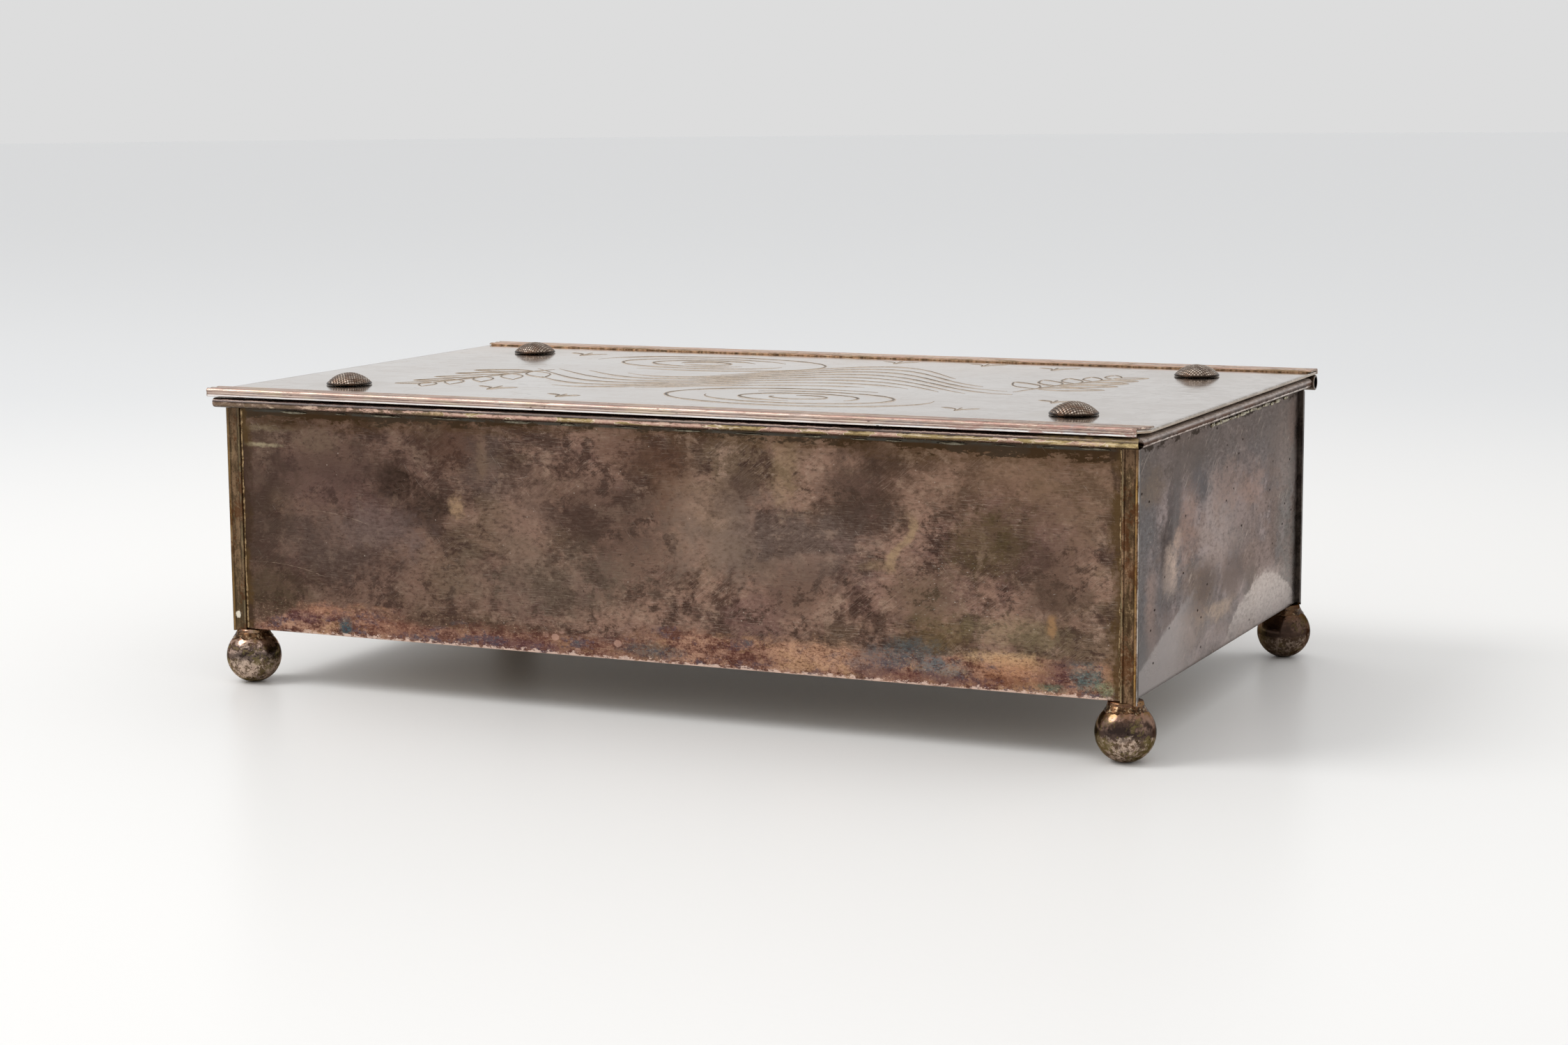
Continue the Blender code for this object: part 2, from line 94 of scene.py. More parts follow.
class Metal:
    """A node material in millimetres of the part's own frame, whose colour is laid on coat by coat."""

    def __init__(self, name, light=1.0, metallic=1.0):
        self.material = bpy.data.materials.new(name)
        self.material.use_nodes = True
        self.tree = self.material.node_tree
        self.shader = self.tree.nodes["Principled BSDF"]
        self.shader.inputs["Metallic"].default_value = metallic
        self.light = light
        self.colour = None
        self.mm = self.vector("MULTIPLY", self.node("TexCoord").outputs["Object"], (1000, 1000, 1000))
        self.x, self.y, self.z = self.node("SeparateXYZ", self.mm).outputs

    def put(self, socket, value):
        if isinstance(value, bpy.types.NodeSocket):
            self.tree.links.new(value, socket)
        else:
            socket.default_value = value

    def node(self, kind, *inputs, **settings):
        """A new node with these settings and first inputs."""
        node = self.tree.nodes.new("ShaderNode" + kind)
        for name, value in settings.items():
            setattr(node, name, value)
        for socket, value in zip(node.inputs, inputs):
            self.put(socket, value)
        return node

    def tone(self, colour):
        """The metal's own colour that is seen as this sRGB colour in the studio's light."""
        if isinstance(colour, bpy.types.NodeSocket):
            return colour
        r, g, b, a = linear(colour)
        return (*(min(c / self.light, 0.98) for c in (r, g, b)), a)

    def vector(self, operation, a, b=(0, 0, 0)):
        return self.node("VectorMath", a, b, operation=operation).outputs[0]

    def math(self, operation, a, b=0, c=0):
        return self.node("Math", a, b, c, operation=operation).outputs[0]

    def times(self, a, b):
        return self.math("MULTIPLY", a, b)

    def plus(self, a, b):
        return self.math("ADD", a, b)

    def minus(self, a, b):
        return self.math("SUBTRACT", a, b)

    def swayed(self, value, noise, width):
        """The value moved by noise, over this width in all."""
        return self.plus(value, self.math("MULTIPLY_ADD", noise, width, -width / 2))

    def distance(self, place):
        """Distance in mm from a place."""
        away = self.vector("SUBTRACT", self.mm, place)
        return self.node("VectorMath", away, operation="LENGTH").outputs["Value"]

    def attribute(self, name):
        return self.node("Attribute", attribute_name=name).outputs["Fac"]

    def fit(self, value, low, high, a=0, b=1):
        """Smooth step from a at low to b at high."""
        return self.node("MapRange", value, low, high, a, b, interpolation_type="SMOOTHSTEP").outputs[0]

    def band(self, value, low, high, edge):
        """1 between low and high, fading over twice the edge."""
        return self.times(
            self.fit(value, low - edge, low + edge),
            self.fit(value, high + edge, high - edge),
        )

    def grained(self, grain, shift, at=None):
        """Places in cells of the given size in mm, one size or one per axis."""
        if not isinstance(grain, tuple):
            grain = (grain, grain, grain)
        shifted = self.vector("ADD", at or self.mm, shift)
        return self.vector("MULTIPLY", shifted, tuple(1 / g for g in grain))

    def noise(self, grain, detail=3, rough=0.5, shift=(0, 0, 0), warp=0, at=None):
        node = self.node("TexNoise", self.grained(grain, shift, at))
        node.inputs["Scale"].default_value = 1
        node.inputs["Detail"].default_value = detail
        node.inputs["Roughness"].default_value = rough
        node.inputs["Distortion"].default_value = warp
        return node.outputs[0]

    def cells(self, grain, shift):
        """Distance to the nearest of points scattered about grain mm apart."""
        node = self.node("TexVoronoi", self.grained(grain, shift))
        node.inputs["Scale"].default_value = 1
        return node.outputs["Distance"]

    def ragged(self, big, small, shift):
        """Noise of two sizes together, for the edges of stains."""
        coarse = self.noise(big, 3, 0.6, shift)
        return self.plus(self.times(coarse, 0.6), self.times(self.noise(small, 4, 0.75, shift), 0.4))

    def turned(self, tilt):
        """Places turned about the three axes, in degrees, for marks that run aslant."""
        node = self.node("VectorRotate", self.mm, rotation_type="EULER_XYZ")
        node.inputs["Rotation"].default_value = [radians(angle) for angle in tilt]
        return node.outputs[0]

    def scratches(self, grain, tilt, shift, low, high):
        """Thin straight scratches: long thin noise cells, turned by tilt."""
        return self.fit(self.noise(grain, 1, 0.4, shift, at=self.turned(tilt)), low, high)

    def spot(self, centre, radii, wobble, axes="xz", edge=0.6):
        """1 inside a ragged oval about a place on a wall, fading to 0."""
        parts = []
        for axis, c, r in zip(axes, centre, radii):
            share = self.math("DIVIDE", self.minus(getattr(self, axis), c), r)
            parts.append(self.times(share, share))
        return self.fit(self.swayed(self.math("SQRT", self.plus(*parts)), wobble, 3.4), 1 + edge, 1 - edge)

    def mix(self, share, a, b):
        """Colour a, turning to colour b as share goes from 0 to 1."""
        node = self.node("Mix", share, data_type="RGBA")
        self.put(node.inputs[6], self.tone(a))
        self.put(node.inputs[7], self.tone(b))
        return node.outputs[2]

    def blend(self, value, low, high, a, b):
        """Colour a where the value is low, turning to colour b where it is high."""
        return self.mix(self.fit(value, low, high), a, b)

    def over(self, share, tint, most=None):
        """Lays a tint on as far as share says, or as share times most."""
        if most:
            share = self.times(share, most)
        self.colour = self.mix(share, self.colour, tint)

    def coat(self, value, low, high, most, tint):
        """Lays a tint on, growing to most as value goes from low to high."""
        self.over(self.fit(value, low, high, 0, most), tint)

    def only(self, share, before):
        """Keeps what was laid on after the colour before only as far as share says."""
        self.colour = self.mix(share, before, self.colour)

    def stains(self, table, wobble, grain, axes="xz", grip=0.4):
        """Stained places with ragged edges, broken up by the surface's own grain."""
        for a, b, reach_a, reach_b, tint, share in table:
            inside = self.spot((a, b), (reach_a, reach_b), wobble, axes)
            self.over(self.times(inside, self.fit(grain, 0.66, 0.4, grip * share, share)), tint)

    def stripes(self, along, bands, breaks=None, edge=0.05):
        """Stripes across a moulding: each has its low and high edge, its colour and its share."""
        for low, high, tint, share in bands:
            stripe = self.times(self.band(along, low, high, edge), share)
            self.over(stripe if breaks is None else self.times(stripe, breaks), tint)

    def bump(self, height, distance, strength, normal=None):
        node = self.node("Bump")
        node.inputs["Strength"].default_value = strength
        node.inputs["Distance"].default_value = distance * MM
        self.put(node.inputs["Height"], height)
        if normal is not None:
            self.put(node.inputs["Normal"], normal)
        return node.outputs[0]

    def dull(self, share):
        """No metal where share is 1, so the surface there takes diffuse light rather than mirroring its
        surroundings.
        """
        self.put(self.shader.inputs["Metallic"], self.minus(1, share))

    def finish(self, roughness, normal, edge=False):
        """Sets the shader; edge keeps the metal as dark at a glancing view as it is face on."""
        self.put(self.shader.inputs["Base Color"], self.colour)
        if edge:
            tint = self.vector("ADD", self.colour, (0.36, 0.36, 0.36))
            self.put(self.shader.inputs["Specular Tint"], tint)
        self.put(self.shader.inputs["Roughness"], roughness)
        self.put(self.shader.inputs["Normal"], normal)
        return self.material


# Materials

# Stains of the long walls: place along x and z, radii, colour and share
FRONT_STAINS = (
    (-74, 56, 6, 5, (38, 27, 21), 0.95),
    (-66, 49, 7, 5, (46, 34, 28), 0.9),
    (-56, 66, 9, 6, (68, 45, 35), 0.7),
    (-47, 62, 6, 7, (88, 76, 72), 0.5),
    (5, 62, 6, 12, (84, 58, 42), 0.65),
    (-14, 52, 17, 9, (72, 55, 48), 0.65),
    (-4, 42, 14, 9, (76, 61, 52), 0.55),
    (55, 60, 8, 8, (68, 54, 46), 0.8),
    (60, 70, 6, 5, (60, 45, 37), 0.8),
    (89, 50, 8, 8, (84, 72, 44), 0.65),
    (105, 45, 8, 14, (80, 63, 52), 0.5),
    (24, 59, 4.5, 5, (74, 59, 52), 0.75),
    (15, 50, 10, 12, (146, 121, 103), 0.6),
    (32, 46, 24, 9, (120, 105, 97), 0.5),
    (-30, 33, 22, 8, (114, 101, 86), 0.45),
    (-92, 40, 18, 9, (98, 84, 77), 0.45),
    (-112, 24, 10, 8, (66, 56, 40), 0.65),
    (-100, 56, 16, 7, (84, 64, 62), 0.5),
    (-78, 44, 12, 6, (128, 108, 102), 0.45),
    (-36, 48, 8, 12, (140, 114, 100), 0.45),
    (-6, 67, 9, 5, (92, 67, 55), 0.6),
    (-115, 51, 8, 14, (70, 56, 47), 0.65),
    (-90, 61, 14, 7, (84, 67, 57), 0.5),
    (103, 39, 8, 7, (78, 62, 52), 0.6),
    (96, 66, 10, 6, (138, 110, 88), 0.4),
    (76, 27, 9, 4, (118, 100, 66), 0.5),
    (95, 29, 12, 4, (152, 136, 104), 0.45),
    (72, 36, 9, 6, (82, 72, 52), 0.5),
    (-97, 66, 8, 3, (126, 106, 88), 0.5),
    (38, 36, 9, 8, (84, 66, 56), 0.55),
    (108, 62, 10, 9, (126, 102, 80), 0.45),
)
OCHRE_STAINS = (
    (-55.7, 51, 2, 2.6, (170, 140, 110), 0.72),
    (-48, 63, 1.4, 5, (140, 115, 92), 0.35),
    (36, 65, 3, 9.5, (148, 124, 96), 0.5),
    (104, 31, 1.1, 2.5, (160, 124, 88), 0.8),
    (-115, 68.4, 8, 0.9, (130, 114, 92), 0.7),
    (-115.5, 64, 6, 0.5, (164, 150, 122), 0.85),
    (60.5, 42.5, 4.2, 1.3, (142, 118, 92), 0.5),
)
FOOT_STAINS = (
    (-90, 17.4, 1.8, 2.6, (30, 84, 94), 0.95),
    (-93, 20.6, 4, 1.8, (84, 52, 58), 0.7),
    (-102, 19, 4.5, 1.6, (84, 60, 76), 0.55),
    (-96, 21.5, 7, 1.6, (176, 128, 102), 0.6),
    (-78, 18.5, 9, 2, (150, 104, 84), 0.5),
    (-52, 20.5, 24, 1.4, (66, 50, 40), 0.6),
    (-40, 16.5, 12, 1.3, (84, 58, 72), 0.5),
    (0, 17.6, 7, 1.8, (62, 84, 88), 0.65),
    (26, 18.5, 9, 2.6, (92, 56, 50), 0.6),
    (44, 20, 13, 3.2, (204, 160, 128), 0.6),
    (60, 19, 6, 3.4, (94, 86, 90), 0.75),
    (68, 22, 9, 3.2, (82, 92, 94), 0.75),
    (77, 18.6, 6, 2.6, (98, 110, 114), 0.75),
    (72, 16.6, 14, 1.4, (88, 50, 50), 0.75),
    (92, 22.6, 10, 1.6, (214, 178, 136), 0.65),
    (94, 19.6, 8, 2.6, (184, 134, 100), 0.75),
    (92, 17.2, 9, 1.4, (104, 60, 46), 0.6),
    (106, 19.8, 5, 3, (78, 48, 54), 0.8),
    (113, 19.6, 4, 3, (84, 112, 110), 0.8),
    (104, 16.4, 3, 0.9, (76, 110, 92), 0.7),
    (117.5, 17.2, 2.4, 1.5, (140, 152, 116), 0.75),
    (118, 21.4, 1.6, 3, (122, 92, 60), 0.6),
)


def front_plate():
    """Brown patina of the long walls, worn to copper along the foot."""
    m = Metal("front_plate_patina", light=0.96)
    cloud = m.noise((22, 22, 17), 6, 0.68, (11, 3, 7), 0.35)
    small = m.noise((7, 7, 6), 7, 0.74, (41, 0, 17), 0.2)
    fine = m.noise((1.6, 1.6, 0.9), 5, 0.8)
    hue = m.noise((30, 30, 26), 5, 0.64, (70, 0, 5), 0.2)
    m.colour = m.blend(cloud, 0.43, 0.57, (84, 64, 55), (148, 117, 101))
    m.coat(hue, 0.5, 0.64, 0.62, (122, 102, 82))
    m.coat(hue, 0.48, 0.34, 0.62, (124, 94, 87))
    m.coat(small, 0.52, 0.61, 0.85, (68, 50, 43))
    m.coat(small, 0.46, 0.36, 0.65, (166, 138, 119))
    m.coat(fine, 0.47, 0.66, 0.68, (54, 40, 34))
    m.coat(fine, 0.44, 0.28, 0.62, (184, 160, 142))
    brushed = m.noise((4.2, 4.2, 0.2), 5, 0.78, (3, 0, 2), 0.4)
    worn = m.fit(m.noise((20, 20, 14), 3, 0.6, (5, 0, 44)), 0.4, 0.58)
    m.over(m.times(m.fit(brushed, 0.52, 0.66, 0, 0.5), worn), (184, 164, 148))
    m.over(m.times(m.fit(brushed, 0.47, 0.32, 0, 0.46), worn), (56, 43, 37))
    hatch = m.noise((3.4, 3.4, 0.2), 4, 0.75, (0, 9, 4), 0.4, at=m.turned((0, 38, 0)))
    other = m.fit(worn, 0.7, 0.2)
    m.over(m.times(m.fit(hatch, 0.54, 0.66, 0, 0.3), other), (182, 160, 144))
    m.over(m.times(m.fit(hatch, 0.46, 0.34, 0, 0.28), other), (58, 44, 38))
    m.coat(m.x, 10, -96, 0.46, (68, 51, 45))
    m.over(m.times(m.fit(m.x, 20, 90), m.fit(m.z, 48, 68, 0, 0.35)), (122, 96, 74))

    # stains and smears that the photograph shows at their places on the front
    unstained = m.colour
    blotch = m.ragged(7, 1.6, (9, 0, 9))
    m.stains(FRONT_STAINS, blotch, fine)
    ochre = m.ragged(2.2, 0.9, (4, 4, 4))
    m.stains(OCHRE_STAINS, ochre, fine)
    # the light S-shaped smear right of the middle
    above = m.minus(m.z, 48)
    lean = m.plus(m.times(m.math("SINE", m.times(above, 0.42)), 1.7), m.times(above, 0.3))
    off = m.swayed(m.minus(m.minus(m.x, 66.5), lean), ochre, 4)
    smear = m.times(m.band(off, -1.1, 1.1, 0.7), m.band(m.z, 42, 54.5, 2))
    m.over(m.times(smear, m.fit(fine, 0.62, 0.42, 0.4, 0.78)), (166, 140, 109))
    m.over(m.fit(m.y, 0, 1), unstained)

    # reddish foot of the wall, worn through to copper, with blue heat tints; its lighter tone is partly a
    # painted reflection of the floor
    edge = m.ragged((16, 16, 5), (2.5, 2.5, 1.6), (2, 0, 31))
    top = m.math("MULTIPLY_ADD", edge, 12, 17.4)
    top = m.minus(top, m.fit(m.x, -98, -120, 0, 7))
    top = m.minus(top, m.times(m.band(m.x, -74, -4, 12), 2.6))
    foot = m.fit(m.minus(m.z, top), 0.8, -2)
    wall = m.colour
    m.colour = m.blend(small, 0.38, 0.6, (118, 79, 65), (168, 127, 107))
    mottle = m.ragged((3.2, 3.2, 1.8), 0.55, (0, 0, 71))
    m.coat(mottle, 0.5, 0.56, 0.85, (78, 44, 38))
    m.coat(mottle, 0.48, 0.42, 0.7, (190, 150, 124))
    m.coat(m.ragged((14, 14, 5), 1, (7, 0, 90)), 0.52, 0.58, 0.5, (184, 146, 108))
    m.over(m.band(m.x, -80, 4, 10), (100, 65, 58), 0.5)
    heat = m.ragged((9, 9, 3.6), 0.8, (133, 0, 61))
    m.coat(heat, 0.52, 0.58, 0.75, (92, 78, 88))
    m.coat(heat, 0.58, 0.64, 0.7, (76, 90, 94))
    m.coat(brushed, 0.54, 0.66, 0.4, (206, 172, 144))
    m.only(m.times(foot, 0.92), wall)
    speckle = m.noise((1.1, 1.1, 0.55), 5, 0.85, (17, 0, 33))
    teal = m.ragged(2.6, 0.8, (0, 0, 13))
    m.stains(FOOT_STAINS, teal, speckle, grip=0.1)
    band = m.fit(m.z, 26, 20)
    m.over(m.times(m.fit(speckle, 0.51, 0.64, 0, 0.7), band), (74, 42, 36))
    m.over(m.times(m.fit(speckle, 0.45, 0.32, 0, 0.7), band), (206, 168, 142))
    drops = m.fit(m.cells((4.2, 4.2, 3.4), (12, 0, 3)), 0.3, 0.22)
    drops = m.times(drops, m.times(m.band(m.x, -30, -8, 3), m.band(m.z, 16, 20.5, 1)))
    m.over(drops, (196, 156, 138), 0.6)
    rag = m.noise((1.8, 1.8, 0.9), 4, 0.75, (0, 0, 5))
    lip = m.minus(m.minus(m.z, WALL_Z), m.fit(rag, 0.38, 0.78, 0, 1.7))
    m.over(m.times(m.fit(lip, 0.3, -0.2), m.fit(m.x, -114, -98)), (228, 200, 184), 0.8)

    # dark run of solder and polish under the rim, and along the corner strips
    under = m.minus(RIM_BOTTOM_Z, m.z)
    drip = m.ragged((12, 12, 3), (1.6, 1.6, 0.7), (5, 0, 0))
    reach = m.fit(drip, 0.42, 0.6, 0.9, 3.2)
    reach = m.plus(reach, m.band(m.x, 62, 120, 8))
    reach = m.plus(reach, m.band(m.x, -116, -74, 8))
    reach = m.minus(reach, m.band(m.x, -40, 20, 12))
    dark = m.fit(m.minus(under, reach), 0.25, -0.35)
    m.over(dark, m.blend(hue, 0.46, 0.54, (40, 30, 24), (46, 45, 44)), 0.92)
    m.coat(m.minus(under, reach), 4, 0, 0.42, (82, 60, 34))
    m.over(m.times(m.fit(under, 1.35, 0.95), m.fit(drip, 0.44, 0.56, 0.9, 0.2)), (72, 70, 64))
    side = m.math("ABSOLUTE", m.x)
    ripple = m.ragged((3, 3, 10), 1.2, (8, 0, 1))
    close = m.minus(m.minus(STRIP_INNER_X, side), m.fit(ripple, 0.38, 0.62, 0.2, 2.4))
    brown = m.blend(hue, 0.46, 0.54, (66, 50, 38), (84, 64, 38))
    m.over(m.fit(close, -0.6, 2.2, 0.85, 0), brown)

    # scratches and specks
    marks = m.scratches((9, 9, 0.13), (0, 14, 0), (0, 0, 0), 0.71, 0.8)
    more = m.scratches((5, 5, 0.11), (0, -52, 0), (33, 0, 9), 0.73, 0.8)
    where = m.fit(m.noise(18, 3, 0.6, (0, 5, 70)), 0.5, 0.62)
    marks = m.times(m.math("MAXIMUM", marks, more), where)
    m.over(marks, (200, 186, 172), 0.4)
    # two long, slightly curved scratches on the left
    for middle_x, middle_z, start, stop in ((-100.6, -12.6, -99, -82), (-114.4, -27.1, -115, -96)):
        reach = m.distance((middle_x, FRONT_WALL_Y, middle_z))
        arc = m.times(m.band(reach, 60, 60.12, 0.05), m.band(m.x, start, stop, 2.5))
        arc = m.times(arc, m.fit(fine, 0.56, 0.4, 0.1, 0.45))
        m.over(m.times(arc, m.fit(m.y, 0, -1)), (190, 166, 144))
    nicks = m.fit(m.noise((1.1, 1.1, 0.35), 2, 0.6, (4, 0, 8)), 0.66, 0.72)
    m.over(m.times(nicks, m.spot((84, 37), (15, 8), blotch, edge=0.8)), (208, 200, 190), 0.7)
    speck = m.fit(m.cells(2.6, (0, 0, 3)), 0.085, 0.03)
    m.over(m.times(speck, m.fit(m.noise(12, 2, 0.5, (9, 9, 9)), 0.5, 0.62)), (196, 182, 168), 0.6)
    pit = m.fit(m.cells(3.1, (50, 0, 3)), 0.08, 0.03)
    m.over(pit, (38, 29, 24), 0.6)

    # inside of the box and the long walls' ends
    inside = m.times(
        m.fit(m.y, FRONT_WALL_Y + 0.3, FRONT_WALL_Y + 0.5),
        m.fit(m.y, BACK_WALL_Y - 0.3, BACK_WALL_Y - 0.5),
    )
    m.over(inside, m.blend(cloud, 0.35, 0.65, (138, 124, 108), (168, 154, 138)))
    end = m.fit(side, SIDE_WALL_X - 0.2, SIDE_WALL_X)
    m.over(end, m.blend(ripple, 0.42, 0.58, (56, 50, 47), (92, 84, 78)))

    rough = m.plus(m.fit(cloud, 0.3, 0.7, 0.3, 0.42), m.fit(small, 0.3, 0.7, 0.06, -0.06))
    height = m.plus(m.times(brushed, 0.35), m.times(fine, 0.5))
    height = m.minus(height, m.times(m.math("MAXIMUM", marks, pit), 0.8))
    wavy = m.bump(m.noise(38, 1, 0.4), 0.35, 0.5)
    return m.finish(rough, m.bump(height, 0.03, 0.5, wavy))


# Stains of the end walls: place along y and z, radii, colour and share
SIDE_STAINS = (
    (-38, 55, 4, 9, (80, 81, 81), 0.8),
    (-22, 60, 5, 4, (84, 86, 90), 0.75),
    (-16, 57, 3, 4, (76, 78, 82), 0.8),
    (-30, 50, 8, 8, (158, 130, 116), 0.7),
    (-47, 46, 4, 6, (34, 27, 22), 0.95),
    (-44, 52, 2, 7, (60, 58, 58), 0.7),
    (-43, 41, 5, 5, (212, 190, 174), 0.8),
    (-38, 47, 3, 3, (196, 172, 156), 0.7),
    (-4, 46, 14, 12, (178, 164, 158), 0.7),
    (20, 44, 16, 14, (152, 134, 126), 0.5),
    (2, 56, 10, 6, (150, 126, 114), 0.6),
    (26, 52, 10, 4, (170, 140, 126), 0.5),
    (-58, 35, 4, 8, (164, 140, 128), 0.65),
    (-56, 24, 4, 7, (150, 128, 118), 0.5),
    (-66, 22, 6, 8, (86, 90, 92), 0.6),
    (-49, 30, 7, 12, (98, 96, 97), 0.6),
    (-14, 34, 10, 4, (90, 76, 64), 0.75),
    (-26, 36, 8, 4, (122, 104, 88), 0.6),
    (-20, 29, 14, 3, (106, 88, 73), 0.6),
    (-4, 25, 12, 2, (196, 172, 146), 0.6),
    (-24, 24, 12, 4, (152, 128, 110), 0.5),
    (10, 33, 9, 5, (92, 80, 72), 0.7),
    (26, 25, 6, 6, (92, 84, 76), 0.7),
    (42, 25, 16, 3.2, (186, 172, 165), 0.8),
    (40, 20, 18, 3.4, (158, 150, 147), 0.6),
    (56, 58, 12, 10, (150, 132, 122), 0.5),
    (66, 66, 5, 6, (128, 106, 96), 0.5),
    (46, 60, 6, 9, (104, 97, 92), 0.5),
    (-58, 63, 9, 4, (118, 102, 82), 0.6),
    (-30, 66, 16, 4, (86, 79, 72), 0.5),
    (-48, 18, 10, 4, (116, 108, 108), 0.4),
)


def side_plate():
    """Greyer patina of the end walls and the floor."""
    m = Metal("side_plate_patina", light=0.92)
    streak = m.noise((9, 19, 13), 6, 0.66, (11, 3, 7), 0.5)
    small = m.noise((4, 7.5, 4.4), 7, 0.74, (41, 0, 17), 0.3)
    fine = m.noise((1.2, 2.4, 1), 5, 0.82)
    m.colour = m.blend(streak, 0.43, 0.57, (110, 102, 101), (160, 147, 145))
    m.coat(small, 0.52, 0.61, 0.62, (88, 80, 76))
    m.coat(small, 0.46, 0.37, 0.55, (184, 170, 165))
    hue = m.noise((18, 26, 15), 5, 0.64, (70, 0, 5), 0.3)
    m.coat(hue, 0.5, 0.58, 0.5, (132, 111, 99))
    m.coat(hue, 0.46, 0.4, 0.5, (112, 112, 113))
    m.coat(m.swayed(m.y, streak, 22), -46, -64, 0.8, (100, 102, 104))
    far = m.times(m.band(m.y, 52, 78, 8), m.fit(small, 0.58, 0.44, 0.3, 0.75))
    m.over(far, (116, 118, 115))
    m.coat(m.swayed(m.z, streak, 24), 54, 69, 0.7, (100, 91, 84))
    m.coat(fine, 0.47, 0.66, 0.62, (66, 57, 51))
    m.coat(fine, 0.44, 0.3, 0.45, (200, 186, 178))
    blotch = m.ragged((5, 9, 5), (1.2, 2.4, 1.1), (9, 0, 9))
    m.stains(SIDE_STAINS, blotch, fine, "yz")
    m.over(0.28, (138, 127, 124))
    # a smooth pale field low on the wall, and a pale patch with a curved top at its far end, both a painted
    # reflection of the floor
    arch = m.math("DIVIDE", m.minus(m.y, 38), 30)
    arch = m.math("MULTIPLY_ADD", m.times(arch, arch), 9, m.z)
    arch = m.swayed(arch, blotch, 7)
    floor_reflection = m.times(m.fit(arch, 28.2, 27.2), m.fit(m.z, 14.5, 22, 0.25, 0.8))
    m.over(m.times(floor_reflection, m.fit(fine, 0.64, 0.42, 0.4, 1)), (196, 187, 181))
    m.coat(m.z, 34, 18, 0.32, (172, 165, 162))
    line = m.math("MULTIPLY_ADD", m.plus(m.y, 72), 0.3, 19.5)
    line = m.swayed(line, blotch, 5)
    pale = m.fit(m.minus(m.z, line), 0.7, -0.7)
    m.over(m.times(pale, m.fit(m.y, -16, -44)), (176, 170, 168), 0.65)
    under = m.minus(RIM_BOTTOM_Z, m.z)
    drip = m.ragged((10, 9, 2.5), 1, (5, 0, 0))
    reach = m.fit(drip, 0.42, 0.6, 0.6, 2.6)
    m.coat(m.minus(under, reach), 0.3, -0.4, 0.75, (54, 47, 40))
    m.coat(m.minus(m.z, WALL_Z), 0.9, 0.1, 0.5, (70, 62, 56))

    marks = m.scratches((12, 0.3, 6), (50, 0, 0), (0, 7, 0), 0.68, 0.76)
    where = m.fit(m.noise(15, 3, 0.6, (0, 5, 70)), 0.44, 0.56)
    marks = m.times(marks, where)
    m.over(marks, (206, 192, 180), 0.6)
    pit = m.fit(m.cells((3.2, 6, 3.2), (50, 0, 3)), 0.13, 0.06)
    pit = m.times(pit, m.fit(m.noise(15, 2, 0.5, (19, 9, 9)), 0.46, 0.54))
    m.over(pit, (34, 28, 24), 0.85)

    inside = m.fit(m.math("ABSOLUTE", m.x), SIDE_WALL_X - 0.3, SIDE_WALL_X - 0.5)
    m.over(inside, m.blend(streak, 0.35, 0.65, (138, 124, 108), (168, 154, 138)))

    rough = m.plus(m.fit(streak, 0.3, 0.7, 0.26, 0.36), m.fit(small, 0.3, 0.7, 0.05, -0.05))
    height = m.plus(m.times(m.noise((0.7, 0.7, 9), 3, 0.6), 0.12), m.times(fine, 0.5))
    height = m.minus(height, m.times(m.math("MAXIMUM", marks, pit), 0.8))
    wavy = m.bump(m.noise(30, 1, 0.4), 0.35, 0.5)
    return m.finish(rough, m.bump(height, 0.03, 0.45, wavy), edge=True)


def lid_plate():
    m = Metal("lid_plate_silver", light=0.76)
    cloud = m.noise((40, 30, 30), 4, 0.55, (1, 2, 3), 0.3)
    small = m.ragged(8, 2, (9, 2, 3))
    m.colour = m.blend(cloud, 0.38, 0.62, (194, 185, 177), (204, 198, 192))
    m.coat(small, 0.52, 0.64, 0.55, (182, 166, 153))
    streak = m.noise((60, 3, 30), 4, 0.6, (5, 0, 0))
    m.coat(streak, 0.54, 0.68, 0.45, (180, 164, 152))
    m.coat(streak, 0.44, 0.32, 0.3, (213, 206, 200))
    m.coat(m.y, 20, 66, 0.5, (200, 178, 160))
    m.over(m.times(m.fit(m.x, 10, 100, 0, 0.9), m.fit(small, 0.42, 0.56, 0.6, 1)), (172, 161, 152))
    nick = m.scratches((4.5, 0.55, 9), (0, 0, 3), (7, 9, 0), 0.71, 0.75)
    nick = m.times(nick, m.fit(m.noise(30, 2, 0.5, (3, 8, 0)), 0.48, 0.56))
    pit = m.fit(m.cells(5.2, (50, 0, 3)), 0.07, 0.03)
    m.over(m.math("MAXIMUM", nick, pit), (86, 72, 60), 0.85)
    # brown bloom about the studs and along the ends
    for corner_name in CORNERS:
        centre = middle_of(f"lid_stud_{corner_name}") / MM
        m.over(m.spot(centre, (9, 9), small, "xy", 0.5), (150, 134, 112), 0.5)
    rim = m.fit(m.math("ABSOLUTE", m.x), LID_X - 1.6, LID_X - 0.3)
    m.over(m.times(rim, m.fit(small, 0.4, 0.56, 0.25, 0.7)), (112, 100, 84))
    under = m.fit(m.z, LID_TOP_Z - 0.25, LID_TOP_Z - 0.45)
    m.over(under, m.blend(cloud, 0.35, 0.65, (134, 118, 100), (164, 148, 130)))
    rough = m.plus(m.fit(small, 0.35, 0.65, 0.07, 0.14), m.times(under, 0.2))
    wavy = m.bump(m.noise((46, 34, 30), 1, 0.4), 0.22, 0.35)
    fine = m.noise((9, 1, 2), 3, 0.6)
    return m.finish(rough, m.bump(fine, 0.012, 0.4, wavy))


